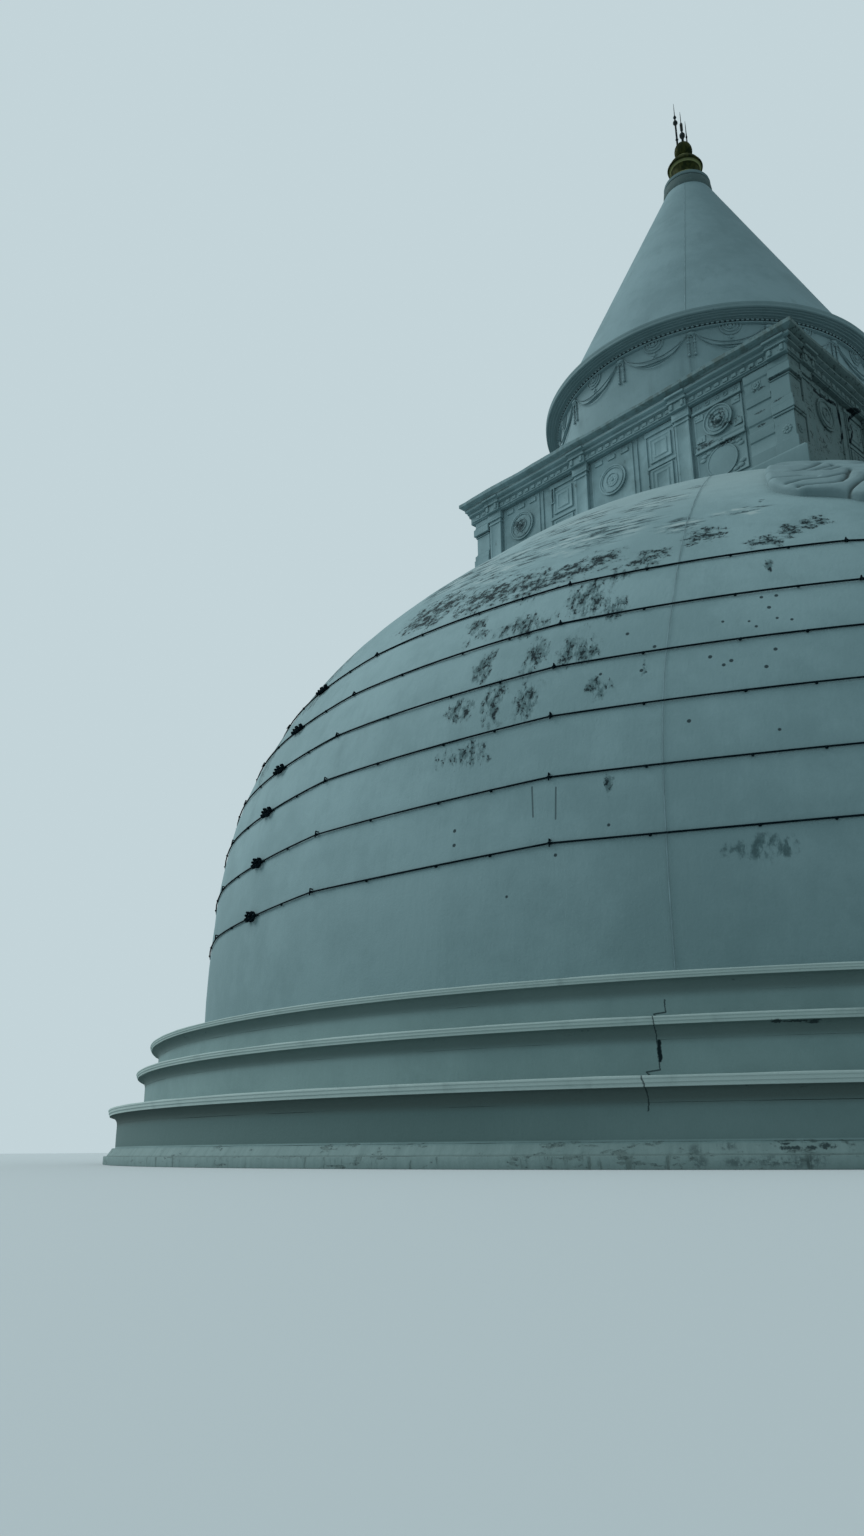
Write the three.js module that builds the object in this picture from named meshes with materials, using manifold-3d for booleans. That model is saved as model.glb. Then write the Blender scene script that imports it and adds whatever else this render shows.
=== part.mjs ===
// A large whitewashed brick stupa: a round base of three stepped terraces, a bubble-shaped dome with
// six cables of lamps round it, a square panelled box (the harmika), a round drum with plaster
// garlands, a plain cone, and a gilded pinnacle with three rods.
//
// Every size below is the real building's, in metres. METRE turns it into the model's millimetres.
// +Z is up, the origin is the centre of the base at ground level, and the box's front faces -Y.

import * as THREE from 'three';
import { mergeVertices } from 'three/addons/utils/BufferGeometryUtils.js';
import Module from 'manifold-3d';

const wasm = await Module();
wasm.setup();

const MODEL_SCALE = 1 / 2;
const METRE = 1000 * MODEL_SCALE;
const GAP = 0.3 / METRE;
const MERGE_DISTANCE = 1e-5;
const DEGREE = Math.PI / 180;

// Sides of the round pieces: quarter turns leave the first two as they are, and 56 fits 14 garlands.
const MASONRY_SIDES = 60;
const DOME_SIDES = 52;
const DRUM_SIDES = 56;
const PINNACLE_SIDES = 16;
const ROD_SIDES = 8;

// Base: a low plinth, then three terraces, each with its cornice radius, foot, top and fascia.
const GROUND_RADIUS = 26.25;
const FOOTING_TOP = 0.26;
const PLINTH_TOP = 0.51;
const PLINTH_STEP = 0.1;
const TERRACES = [
  { name: 'lower', radius: 26.2, foot: 0.51, top: 1.76, fascia: 0.215 },
  { name: 'middle', radius: 25.35, foot: 1.76, top: 3.0, fascia: 0.17 },
  { name: 'upper', radius: 24.95, foot: 3.0, top: 3.965, fascia: 0.145 },
];
const COVE_HEIGHT = 0.29;
const COVE_REACH = 0.32;
const COVE_STEP = 0.04;

// Dome outline as radius and height, from the upper terrace to the top hidden inside the box.
const DOME_OUTLINE = [
  [23.05, 3.965], [23.0, 7.0], [22.72, 10.2], [22.1, 12.9], [20.95, 15.4], [19.3, 17.8],
  [17.35, 19.8], [15.0, 21.75], [13.6, 22.87], [12.14, 23.88], [10.6, 24.48], [8.5, 24.6],
];
const DOME_STEPS = 11;

// Lamp cables round the dome, each with four clusters of lamps.
const CABLE_HEIGHTS = [7.62, 9.4, 11.16, 12.72, 14.28, 15.93];
const CABLE_THICKNESS = 0.06;
const LAMP_ANGLES = [-103, -13, 77, 167];
const LAMP_RADIUS = 0.24;
const LAMP_DEPTH = 0.22;
const LAMP_SIDES = 6;

// Plaster lotus reliefs, one on the dome under each corner of the box. The outline is half of the open
// flower, as how far it reaches across and up the dome's face from the flower's middle.
const LOTUS_HEIGHT = 20.6;
const LOTUS_OUTLINE = [
  [0.9, -3.65], [1.3, -3.16], [2.0, -2.74], [2.45, -2.55], [2.83, -1.9], [2.92, -1.1],
  [2.65, 0.45], [2.17, 2.33], [1.7, 3.6], [0.9, 4.1],
];
const LOTUS_TIP = -4.1;
const LOTUS_CUTTER_DEPTH = 4;
const LOTUS_LAYERS = [
  { size: 1, raise: 0.16 },
  { size: 0.72, raise: 0.25 },
];

// The square box: half widths of its parts, and heights.
const BOX_PLINTH_HALF = 9.0;
const BOX_PLINTH_FOOT = 23.2;
const BOX_FOOT = 24.7;
const BOX_HEAD = 29.15;
const CORE_HALF = 7.5;
const PANEL_FACE = 8.2;
const ORNAMENT_ROOT = 0.1;
const PILASTER_FACE = 8.4;
const PILASTER_WIDTH = 0.7;
const PILASTER_CENTRES = [-7.08, -1.85, 3.5];
const PILASTER_HEAD = { foot: 28.75, reach: 0.06, face: 8.45 };
const DISC_BAYS = [
  { x: -5.5, panels: [[25.25, 29.1, 8.24]], discs: [{ height: 27.85, radius: 0.7, face: 8.34 }] },
  { x: -0.2, panels: [[25.25, 29.1, 8.24]], discs: [{ height: 27.74, radius: 0.7, face: 8.34 }] },
  {
    x: 5.12,
    panels: [[25.25, 26.8, 8.25], [26.88, 27.1, 8.31], [27.15, 28.65, 8.25], [28.78, 29.1, 8.3]],
    discs: [{ height: 26.05, radius: 0.7, face: 8.3 }, { height: 27.92, radius: 0.66, face: 8.38 }],
  },
];
const DISC_BAY_HALF = 1.12;
const DISC_SIDES = 12;
const FRAME_CENTRES = [-3.0, 2.32];
const FRAME_HALF = 0.54;
const FRAME_BORDER = 0.22;
const FRAME_FACE = 8.26;
const FRAME_INNER_FACE = 8.3;
const FRAME_LEVELS = [[25.6, 27.2], [27.53, 28.7]];
const STACK_START = 6.4;
const STACK_HEIGHTS = [24.7, 25.6, 26.1, 26.5, 26.8, 27.3, 27.67, 27.97, 28.3, 28.8, 29.15];
const STACK_FACES = [8.34, 8.27];
const PIER_COURSES = [[24.7, 8.46], [25.5, 8.36], [26.75, 8.44], [27.4, 8.34], [28.4, 8.44], [28.8, 8.38]];
const CORNICE_OUTLINE = [
  [8.45, 29.15], [8.5, 29.5], [8.62, 29.55], [8.62, 29.72], [8.7, 29.75], [8.7, 29.85],
  [8.88, 30.0], [8.95, 30.05], [8.95, 30.2],
];
const CORNICE_BREAK = { half: 0.45, from: 8, reach: 8.68, top: 29.72 };
const CORNER_BREAK = [7.4, CORNICE_BREAK.reach];
const ROOF_FOOT_HALF = 8.7;
const ROOF_TOP_HALF = 8.1;
const ROOF_TOP = 30.45;

// Drum, its band of garlands, and the ring that carries the cone.
const DRUM_FOOT_RADIUS = 7.8;
const DRUM_FOOT_TOP = 30.8;
const DRUM_RADIUS = 7.45;
const BAND_FOOT = 32.9;
const BAND_TOP = 34.25;
const SWAG_COUNT = 14;
const SWAG_ANGLE = -89.2;
const SWAG_THICKNESS = 0.26;
const SWAG_HIGH = 34.0;
const SWAG_LOW = 33.12;
const SWAG_STEPS = 6;
const SWAG_MARGIN = 0.05;
const TASSEL_TAIL = { half: 0.15, raise: 0.1, foot: 33.0, head: 34.1 };
const TASSEL_KNOT = { half: 0.25, raise: 0.16, foot: 33.9, head: 34.2 };
const TASSEL_ROOT = 0.2;
const MEDALLION = { radius: 0.3, depth: 0.4, height: 33.92, bite: 0.05 };
const MEDALLION_SIDES = 6;
const RING_OUTLINE = [
  [7.55, 34.25], [7.62, 34.42], [8.1, 34.58], [8.2, 34.62], [8.2, 34.85],
];

// Cone and pinnacle.
const CONE_FOOT_RADIUS = 7.77;
const CONE_FOOT = 34.85;
const CONE_TOP_RADIUS = 1.27;
const CONE_TOP = 48.8;
const COLLAR_OUTLINE = [[1.3, 48.8], [1.26, 49.38], [1.18, 49.44], [1.22, 49.5], [1.22, 49.68], [1.1, 49.76]];
const BOWL_OUTLINE = [
  [0.97, 49.76], [1.0, 49.9], [0.88, 50.06], [0.75, 50.2], [0.78, 50.8], [0.94, 50.9],
  [0.94, 51.02], [0.78, 51.3], [0.5, 51.45], [0.45, 51.62],
];
const BALL_CENTRE = 52.17;
const BALL_RADIUS = 0.48;
const BALL_HALF_HEIGHT = 0.6;
const BALL_STEPS = 7;
const BALL_FROM = -65;
const BALL_TO = 85;
const RODS = [
  { name: 'left', angle: 210, reach: 0.27, radius: 0.055, knobs: [[54.39, 0.14], [54.79, 0.1]], top: 55.8 },
  { name: 'middle', angle: 30, reach: 0.03, radius: 0.05, knobs: [[53.39, 0.15], [54.0, 0.09]], top: 55.1 },
  { name: 'right', angle: 30, reach: 0.25, radius: 0.035, knobs: [[53.2, 0.06]], top: 54.35 },
];
const ROD_FOOT = 52.3;
const NEEDLE_RADIUS = 0.03;

// Lightning conductor: a strip straight down the cone and the drum, and on down the dome, where it drifts
// sideways. Its route there is seen from above, from the box's plinth to the dome's foot.
const CONDUCTOR_ANGLE = -64.6;
const CONDUCTOR_WIDTH = 0.06;
const CONDUCTOR_RAISE = 0.025;
const CONDUCTOR_BITE = 0.2;
const CONDUCTOR_ROUTE = [
  [5.62, -9.2], [6.27, -11.19], [6.98, -12.98], [7.99, -15.15], [9.26, -18.53], [9.64, -20.0], [9.9, -21.1],
];

const PLASTER = { color: 0xdfe6e6, roughness: 0.85, metalness: 0 };
const GILT = { color: 0x8f7a2e, roughness: 0.4, metalness: 0.9 };
const DARK_METAL = { color: 0x2d3336, roughness: 0.6, metalness: 0.7 };
const CABLE_BLACK = { color: 0x23282a, roughness: 0.5, metalness: 0.1 };

const stupa = new THREE.Group();
stupa.name = 'stupa';

// Merges shared vertices and drops the flat triangles that a lathe leaves at its poles.
function closed(geometry) {
  const bare = geometry.clone();
  bare.deleteAttribute('normal');
  bare.deleteAttribute('uv');
  const merged = mergeVertices(bare, MERGE_DISTANCE);
  const corners = merged.index.array;
  const kept = [];
  for (let i = 0; i < corners.length; i += 3) {
    const [a, b, c] = corners.slice(i, i + 3);
    if (a !== b && b !== c && c !== a) kept.push(a, b, c);
  }
  merged.setIndex(kept);
  return merged;
}

function solid(geometry) {
  const merged = closed(geometry);
  const vertProperties = new Float32Array(merged.attributes.position.array);
  const triVerts = new Uint32Array(merged.index.array);
  return new wasm.Manifold(new wasm.Mesh({ numProp: 3, vertProperties, triVerts }));
}

function geometryOf(shape) {
  const mesh = shape.getMesh();
  const geometry = new THREE.BufferGeometry();
  geometry.setAttribute('position', new THREE.BufferAttribute(new Float32Array(mesh.vertProperties), 3));
  geometry.setIndex(Array.from(mesh.triVerts));
  return geometry;
}

function joined(solids) {
  return solids.reduce((sum, next) => sum.add(next));
}

// Adds one named piece, a geometry or a solid in metres, at the model's size.
function addPiece(name, shape, look) {
  const geometry = shape.isBufferGeometry ? closed(shape) : geometryOf(shape);
  geometry.scale(METRE, METRE, METRE);
  geometry.computeVertexNormals();
  const mesh = new THREE.Mesh(geometry, new THREE.MeshStandardMaterial(look));
  mesh.name = name;
  stupa.add(mesh);
}

// Turns an outline of [radius, height] points about Z, with a corner at the start angle.
function turned(outline, sides = MASONRY_SIDES, startAngle = -90) {
  const points = outline.map(([radius, height]) => new THREE.Vector2(radius, height));
  const geometry = new THREE.LatheGeometry(points, sides, (startAngle + 90) * DEGREE);
  return geometry.rotateX(Math.PI / 2);
}

// A round course whose side follows the outline from bottom to top, with flat ends.
function course(outline, sides, startAngle) {
  const foot = outline[0][1];
  const head = outline[outline.length - 1][1];
  return turned([[0, foot], ...outline, [0, head]], sides, startAngle);
}

// A square course is a lathe with four sides, its corners on the diagonals.
function squareCourse(outline) {
  return course(outline.map(([half, height]) => [half * Math.SQRT2, height]), 4, -45);
}

function block(x0, x1, y0, y1, z0, z1) {
  const geometry = new THREE.BoxGeometry(x1 - x0, y1 - y0, z1 - z0);
  return geometry.translate((x0 + x1) / 2, (y0 + y1) / 2, (z0 + z1) / 2);
}

// Quarter turns about Z by whole numbers, so that a turned piece keeps its exact sizes.
function quarterTurned(geometry, quarters) {
  const turn = new THREE.Matrix4().set(0, -1, 0, 0, 1, 0, 0, 0, 0, 0, 1, 0, 0, 0, 0, 1);
  for (let i = 0; i < quarters; i += 1) geometry.applyMatrix4(turn);
  return geometry;
}

function buildBase() {
  addPiece('footing_step', course([[GROUND_RADIUS, 0], [GROUND_RADIUS, FOOTING_TOP]]), PLASTER);
  const lowerWall = TERRACES[0].radius - COVE_REACH;
  const slope = [[GROUND_RADIUS - PLINTH_STEP, FOOTING_TOP], [lowerWall + PLINTH_STEP, PLINTH_TOP]];
  addPiece('sloping_plinth', course(slope), PLASTER);
  for (const { name, radius, foot, top, fascia } of TERRACES) {
    const wall = radius - COVE_REACH;
    const fasciaFoot = top - fascia;
    const coveFoot = fasciaFoot - COVE_HEIGHT;
    addPiece(`${name}_terrace_wall`, course([[wall, foot], [wall, coveFoot]]), PLASTER);
    const cornice = [[wall + COVE_STEP, coveFoot], [radius, fasciaFoot], [radius, top]];
    addPiece(`${name}_terrace_cornice`, course(cornice), PLASTER);
  }
}

// Points up the dome's side, moved outward by a distance for what lies on its surface.
function domeSide(raise = 0) {
  const outline = DOME_OUTLINE.map(([radius, height]) => new THREE.Vector2(radius, height));
  const curve = new THREE.SplineCurve(outline);
  const side = [];
  for (let step = 0; step <= DOME_STEPS; step += 1) {
    const point = curve.getPoint(step / DOME_STEPS);
    const tangent = curve.getTangent(step / DOME_STEPS);
    side.push([point.x + tangent.y * raise, point.y - tangent.x * raise]);
  }
  side[0][1] = DOME_OUTLINE[0][1];
  return side;
}

function domeSolid(raise = 0) {
  return solid(course(domeSide(raise), DOME_SIDES));
}

// Radius of the dome's side at a height, and how far its face leans up from the vertical.
function domeAt(height) {
  const side = domeSide();
  const above = side.findIndex((point) => point[1] > height);
  const [[r0, h0], [r1, h1]] = side.slice(above - 1, above + 1);
  return { radius: r0 + ((r1 - r0) * (height - h0)) / (h1 - h0), lean: Math.atan2(r0 - r1, h1 - h0) };
}

// One mass of brickwork, with a square seat in its top for the plinth of the box.
function buildDome() {
  const half = BOX_PLINTH_HALF + GAP;
  const seat = solid(squareCourse([[half, BOX_PLINTH_FOOT], [half, BOX_FOOT]]));
  addPiece('dome', domeSolid().subtract(seat), PLASTER);
}

// The strip on the dome, cut by the dome itself from a thin upright sheet that follows the route.
function domeConductor(widthAdded, raiseAdded) {
  const half = (CONDUCTOR_WIDTH + widthAdded) / 2;
  const side = (offset) => CONDUCTOR_ROUTE.map(([x, y]) => new THREE.Vector2(x + offset, y));
  const sheet = new THREE.Shape([...side(-half), ...side(half).reverse()]);
  const foot = DOME_OUTLINE[0][1] + GAP;
  const height = BOX_FOOT - foot;
  const strip = new THREE.ExtrudeGeometry(sheet, { depth: height, bevelEnabled: false });
  return solid(strip.translate(0, 0, foot)).intersect(domeSolid(CONDUCTOR_RAISE + raiseAdded));
}

function buildConductor() {
  const half = CONDUCTOR_WIDTH / 2;
  addPiece('dome_conductor', domeConductor(0, 0).subtract(domeSolid(GAP)), DARK_METAL);
  const raise = CONDUCTOR_RAISE;
  const drumFace = DRUM_RADIUS * Math.cos(Math.PI / DRUM_SIDES) + GAP;
  const drumStrip = block(drumFace, DRUM_RADIUS + raise, -half, half, DRUM_FOOT_TOP + GAP, BAND_FOOT);
  const drumOutline = [[DRUM_RADIUS + GAP, ROOF_TOP], [DRUM_RADIUS + GAP, BAND_FOOT]];
  const drumWall = solid(course(drumOutline, DRUM_SIDES, SWAG_ANGLE));
  const onDrumWall = solid(drumStrip.rotateZ(CONDUCTOR_ANGLE * DEGREE)).subtract(drumWall);
  addPiece('drum_conductor', onDrumWall, DARK_METAL);
  const slice = new THREE.Shape([
    new THREE.Vector2(CONE_FOOT_RADIUS - CONDUCTOR_BITE, CONE_FOOT + GAP),
    new THREE.Vector2(CONE_FOOT_RADIUS + raise, CONE_FOOT + GAP),
    new THREE.Vector2(CONE_TOP_RADIUS + raise, CONE_TOP - GAP),
    new THREE.Vector2(CONE_TOP_RADIUS - CONDUCTOR_BITE, CONE_TOP - GAP),
  ]);
  const strip = new THREE.ExtrudeGeometry(slice, { depth: CONDUCTOR_WIDTH, bevelEnabled: false });
  strip.translate(0, 0, -half).rotateX(Math.PI / 2).rotateZ(CONDUCTOR_ANGLE * DEGREE);
  const cone = solid(course([[CONE_FOOT_RADIUS + GAP, CONE_FOOT], [CONE_TOP_RADIUS + GAP, CONE_TOP]]));
  addPiece('cone_conductor', solid(strip).subtract(cone), DARK_METAL);
}

// Each cable lies on the dome all the way round, over the conductor, with four lamp clusters.
function buildLampCables() {
  const dome = domeSolid(GAP);
  const conductor = domeConductor(2 * GAP, GAP);
  CABLE_HEIGHTS.forEach((height, index) => {
    const { radius, lean } = domeAt(height);
    const seat = 2 * GAP;
    const corner = (out, up) => [
      radius + out * Math.cos(lean) - up * Math.sin(lean),
      height + out * Math.sin(lean) + up * Math.cos(lean),
    ];
    const foot = corner(seat, -CABLE_THICKNESS / 2);
    const section = [foot, corner(CABLE_THICKNESS, 0), corner(seat, CABLE_THICKNESS / 2), foot];
    const ring = solid(turned(section, DOME_SIDES));
    const lamps = LAMP_ANGLES.map((angle) => {
      const cluster = new THREE.CylinderGeometry(LAMP_RADIUS, LAMP_RADIUS, LAMP_DEPTH, LAMP_SIDES);
      cluster.rotateZ(-Math.PI / 2).rotateY(-lean).translate(radius, 0, height);
      return solid(cluster.rotateZ(angle * DEGREE)).subtract(dome);
    });
    const cable = joined([ring, ...lamps]).subtract(conductor);
    addPiece(`lamp_cable_${index + 1}`, cable, CABLE_BLACK);
  });
}

// The flower's whole outline, with its tip down the dome, which is the shape's -X once it is laid there.
function lotusShape(size) {
  const right = LOTUS_OUTLINE.map(([across, up]) => new THREE.Vector2(-up * size, across * size));
  const left = LOTUS_OUTLINE.map(([across, up]) => new THREE.Vector2(-up * size, -across * size)).reverse();
  return new THREE.Shape([new THREE.Vector2(-LOTUS_TIP * size, 0), ...right, ...left]);
}

// Thin layers of plaster that follow the dome, each cut from a shell of it by the flower's outline.
function buildLotusReliefs() {
  const dome = domeSolid(GAP);
  const { radius, lean } = domeAt(LOTUS_HEIGHT);
  for (let corner = 0; corner < 4; corner += 1) {
    const layers = LOTUS_LAYERS.map((layer) => {
      const depth = LOTUS_CUTTER_DEPTH;
      const cutter = new THREE.ExtrudeGeometry(lotusShape(layer.size), { depth, bevelEnabled: false });
      cutter.translate(0, 0, -depth / 2).rotateY(Math.PI / 2 - lean).translate(radius, 0, LOTUS_HEIGHT);
      return solid(cutter.rotateZ((90 * corner - 45) * DEGREE)).intersect(domeSolid(layer.raise));
    });
    addPiece(`lotus_relief_${corner + 1}`, joined(layers).subtract(dome), PLASTER);
  }
}

// A block and a disc that stand out from the front wall's panel plane to a given face.
function raisedBlock(x0, x1, z0, z1, face) {
  return solid(block(x0, x1, -face, ORNAMENT_ROOT - PANEL_FACE, z0, z1));
}

function raisedDisc(x, z, radius, face) {
  const depth = face - PANEL_FACE + ORNAMENT_ROOT;
  const disc = new THREE.CylinderGeometry(radius, radius, depth, DISC_SIDES);
  return solid(disc.translate(x, depth / 2 - face, z));
}

// Ornament of the front wall: pilasters, bays with raised discs, narrow framed bays and a stack of mouldings.
function wallOrnament() {
  const foot = BOX_FOOT + GAP;
  const head = BOX_HEAD - GAP;
  const half = PILASTER_WIDTH / 2;
  const headHalf = half + PILASTER_HEAD.reach;
  const pilasters = PILASTER_CENTRES.flatMap((x) => [
    raisedBlock(x - half, x + half, foot, head, PILASTER_FACE),
    raisedBlock(x - headHalf, x + headHalf, PILASTER_HEAD.foot, head, PILASTER_HEAD.face),
  ]);
  const discBays = DISC_BAYS.flatMap(({ x, panels, discs }) => [
    ...panels.map(([low, high, face]) => raisedBlock(x - DISC_BAY_HALF, x + DISC_BAY_HALF, low, high, face)),
    ...discs.map((disc) => raisedDisc(x, disc.height, disc.radius, disc.face)),
  ]);
  const inner = FRAME_HALF - FRAME_BORDER;
  const frames = FRAME_CENTRES.flatMap((x) => FRAME_LEVELS.flatMap(([low, high]) => [
    raisedBlock(x - FRAME_HALF, x + FRAME_HALF, low, high, FRAME_FACE),
    raisedBlock(x - inner, x + inner, low + FRAME_BORDER, high - FRAME_BORDER, FRAME_INNER_FACE),
  ]));
  const stack = STACK_HEIGHTS.slice(1).map((top, index) => {
    const [from, to] = [Math.max(STACK_HEIGHTS[index], foot), Math.min(top, head)];
    return raisedBlock(STACK_START, CORE_HALF - GAP, from, to, STACK_FACES[index % 2]);
  });
  return joined([...pilasters, ...discBays, ...frames, ...stack]);
}

// The box: plinth and core, four ornamented walls between four corner piers, cornice and roof.
function buildHarmika() {
  const foot = BOX_FOOT + GAP;
  const head = BOX_HEAD - GAP;
  const plinth = [[BOX_PLINTH_HALF, BOX_PLINTH_FOOT + GAP], [BOX_PLINTH_HALF, BOX_FOOT]];
  addPiece('harmika_plinth', squareCourse(plinth), PLASTER);
  const coreHalf = CORE_HALF - GAP;
  addPiece('harmika_core', squareCourse([[coreHalf, foot], [coreHalf, head]]), PLASTER);
  const slab = solid(block(-CORE_HALF + GAP, CORE_HALF - GAP, -PANEL_FACE, -CORE_HALF, foot, head));
  const wall = wallOrnament().add(slab);
  const pier = joined(PIER_COURSES.map(([bottom, face], index) => {
    const next = PIER_COURSES[index + 1];
    const top = next ? next[0] : head;
    return solid(block(CORE_HALF, face, -face, -CORE_HALF, Math.max(bottom, foot), top));
  }));
  ['front', 'right', 'back', 'left'].forEach((side, quarters) => {
    addPiece(`harmika_${side}_wall`, quarterTurned(geometryOf(wall), quarters), PLASTER);
    addPiece(`harmika_pier_${quarters + 1}`, quarterTurned(geometryOf(pier), quarters), PLASTER);
  });
  const { half, from, reach, top } = CORNICE_BREAK;
  const breaks = [...PILASTER_CENTRES.map((x) => [x - half, x + half]), CORNER_BREAK];
  const breakBlocks = [0, 1, 2, 3].flatMap((quarters) => breaks.map(([x0, x1]) => {
    return solid(quarterTurned(block(x0, x1, -reach, -from, BOX_HEAD, top), quarters));
  }));
  addPiece('harmika_cornice', joined([solid(squareCourse(CORNICE_OUTLINE)), ...breakBlocks]), PLASTER);
  const corniceTop = CORNICE_OUTLINE[CORNICE_OUTLINE.length - 1][1];
  const roof = [[ROOF_FOOT_HALF, corniceTop + GAP], [ROOF_TOP_HALF, ROOF_TOP]];
  addPiece('harmika_roof', squareCourse(roof), PLASTER);
}

function onDrum(angle, height) {
  const turn = angle * DEGREE;
  return new THREE.Vector3(DRUM_RADIUS * Math.cos(turn), DRUM_RADIUS * Math.sin(turn), height);
}

// A four-sided bar that hangs in a curve across one bay, half of it inside the drum's face.
function garland(startAngle, spacing) {
  const points = Array.from({ length: SWAG_STEPS + 1 }, (_, step) => {
    const along = step / SWAG_STEPS;
    const sag = 4 * along * (1 - along);
    const angle = startAngle + spacing * (SWAG_MARGIN + (1 - 2 * SWAG_MARGIN) * along);
    return onDrum(angle, SWAG_HIGH - (SWAG_HIGH - SWAG_LOW) * sag);
  });
  const half = SWAG_THICKNESS / 2;
  const corners = [[half, 0], [0, half], [-half, 0], [0, -half]];
  const section = new THREE.Shape(corners.map(([x, y]) => new THREE.Vector2(x, y)));
  const extrudePath = new THREE.CatmullRomCurve3(points);
  return solid(new THREE.ExtrudeGeometry(section, { steps: SWAG_STEPS, extrudePath, bevelEnabled: false }));
}

function tassel(angle) {
  return joined([TASSEL_TAIL, TASSEL_KNOT].map(({ half, raise, foot, head }) => {
    const part = block(DRUM_RADIUS - TASSEL_ROOT, DRUM_RADIUS + raise, -half, half, foot, head);
    return solid(part.rotateZ(angle * DEGREE));
  }));
}

function medallion(angle) {
  const { radius, depth, height, bite } = MEDALLION;
  const disc = new THREE.CylinderGeometry(radius, radius, depth, MEDALLION_SIDES);
  return solid(disc.rotateZ(Math.PI / 2).translate(DRUM_RADIUS - bite, 0, height).rotateZ(angle * DEGREE));
}

function buildDrum() {
  const foot = [[DRUM_FOOT_RADIUS, ROOF_TOP], [DRUM_FOOT_RADIUS, DRUM_FOOT_TOP]];
  addPiece('drum_foot', course(foot, DRUM_SIDES), PLASTER);
  const wall = [[DRUM_RADIUS, DRUM_FOOT_TOP], [DRUM_RADIUS, BAND_FOOT]];
  addPiece('drum_wall', course(wall, DRUM_SIDES, SWAG_ANGLE), PLASTER);
  const spacing = 360 / SWAG_COUNT;
  const band = [[DRUM_RADIUS, BAND_FOOT + GAP], [DRUM_RADIUS, BAND_TOP - GAP]];
  const parts = [solid(course(band, DRUM_SIDES, SWAG_ANGLE))];
  for (let bay = 0; bay < SWAG_COUNT; bay += 1) {
    const angle = SWAG_ANGLE + bay * spacing;
    parts.push(garland(angle, spacing), tassel(angle), medallion(angle + spacing / 2));
  }
  addPiece('garland_band', joined(parts), PLASTER);
  addPiece('spire_ring', course(RING_OUTLINE), PLASTER);
}

function ballSide(raise = 0) {
  const side = [];
  for (let step = 0; step <= BALL_STEPS; step += 1) {
    const angle = (BALL_FROM + ((BALL_TO - BALL_FROM) * step) / BALL_STEPS) * DEGREE;
    const height = BALL_CENTRE + (BALL_HALF_HEIGHT + raise) * Math.sin(angle);
    side.push([(BALL_RADIUS + raise) * Math.cos(angle), height]);
  }
  return side;
}

// A rod with round knobs, which narrows to a needle above the last one.
function rodOutline({ radius, knobs, top }) {
  const outline = [[radius, ROD_FOOT]];
  knobs.forEach(([height, knobRadius], index) => {
    const above = index === knobs.length - 1 ? NEEDLE_RADIUS : radius;
    outline.push([radius, height - knobRadius], [knobRadius, height], [above, height + knobRadius]);
  });
  outline.push([NEEDLE_RADIUS * 0.5, top]);
  return outline;
}

function buildSpire() {
  addPiece('spire_cone', course([[CONE_FOOT_RADIUS, CONE_FOOT], [CONE_TOP_RADIUS, CONE_TOP]]), PLASTER);
  addPiece('spire_collar', course(COLLAR_OUTLINE, PINNACLE_SIDES), PLASTER);
  addPiece('gilded_bowl', course(BOWL_OUTLINE, PINNACLE_SIDES), GILT);
  const side = ballSide();
  side[0][1] = BOWL_OUTLINE[BOWL_OUTLINE.length - 1][1];
  addPiece('gilded_ball', course(side, PINNACLE_SIDES), GILT);
  const ball = solid(course(ballSide(GAP), PINNACLE_SIDES));
  for (const rod of RODS) {
    const x = rod.reach * Math.cos(rod.angle * DEGREE);
    const y = rod.reach * Math.sin(rod.angle * DEGREE);
    const shape = solid(course(rodOutline(rod), ROD_SIDES).translate(x, y, 0));
    addPiece(`pinnacle_rod_${rod.name}`, shape.subtract(ball), DARK_METAL);
  }
}

buildBase();
buildDome();
buildLampCables();
buildLotusReliefs();
buildConductor();
buildHarmika();
buildDrum();
buildSpire();

export default stupa;
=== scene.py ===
# A whitewashed brick stupa at half size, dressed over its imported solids. Every piece is modelled at the
# building's own size in metres, and halved when it is finished.

import bisect
import itertools
import math

import bpy
from mathutils import Euler, Matrix, Vector


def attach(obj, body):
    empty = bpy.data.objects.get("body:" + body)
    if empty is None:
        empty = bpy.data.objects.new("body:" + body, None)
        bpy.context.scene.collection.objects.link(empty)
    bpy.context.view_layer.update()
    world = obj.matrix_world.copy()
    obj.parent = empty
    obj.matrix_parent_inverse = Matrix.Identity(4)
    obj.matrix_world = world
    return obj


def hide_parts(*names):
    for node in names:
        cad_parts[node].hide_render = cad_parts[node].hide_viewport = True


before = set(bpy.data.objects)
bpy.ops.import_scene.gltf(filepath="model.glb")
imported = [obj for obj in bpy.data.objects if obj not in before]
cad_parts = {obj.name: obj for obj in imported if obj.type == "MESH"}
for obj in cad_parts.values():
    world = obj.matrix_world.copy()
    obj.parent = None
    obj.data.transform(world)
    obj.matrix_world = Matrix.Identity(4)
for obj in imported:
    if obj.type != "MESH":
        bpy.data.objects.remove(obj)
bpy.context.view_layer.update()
HALF = 0.5

# The camera stands low, front right of the box, and looks up at its corner. Its place, pitch and lens
# were solved from the outlines of the base, dome, box and cone.
CAMERA_PLACE = Vector((24.73, -42.547, 0.382))
CAMERA_HEADING = math.radians(136.74)
CAMERA_PITCH = 0.32973
CAMERA_ROLL = -0.00667
FOCAL_PIXELS = 1117.24
FRAME_HEIGHT = 1536
SENSOR = 36
FAR_LIMIT = 1000

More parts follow.
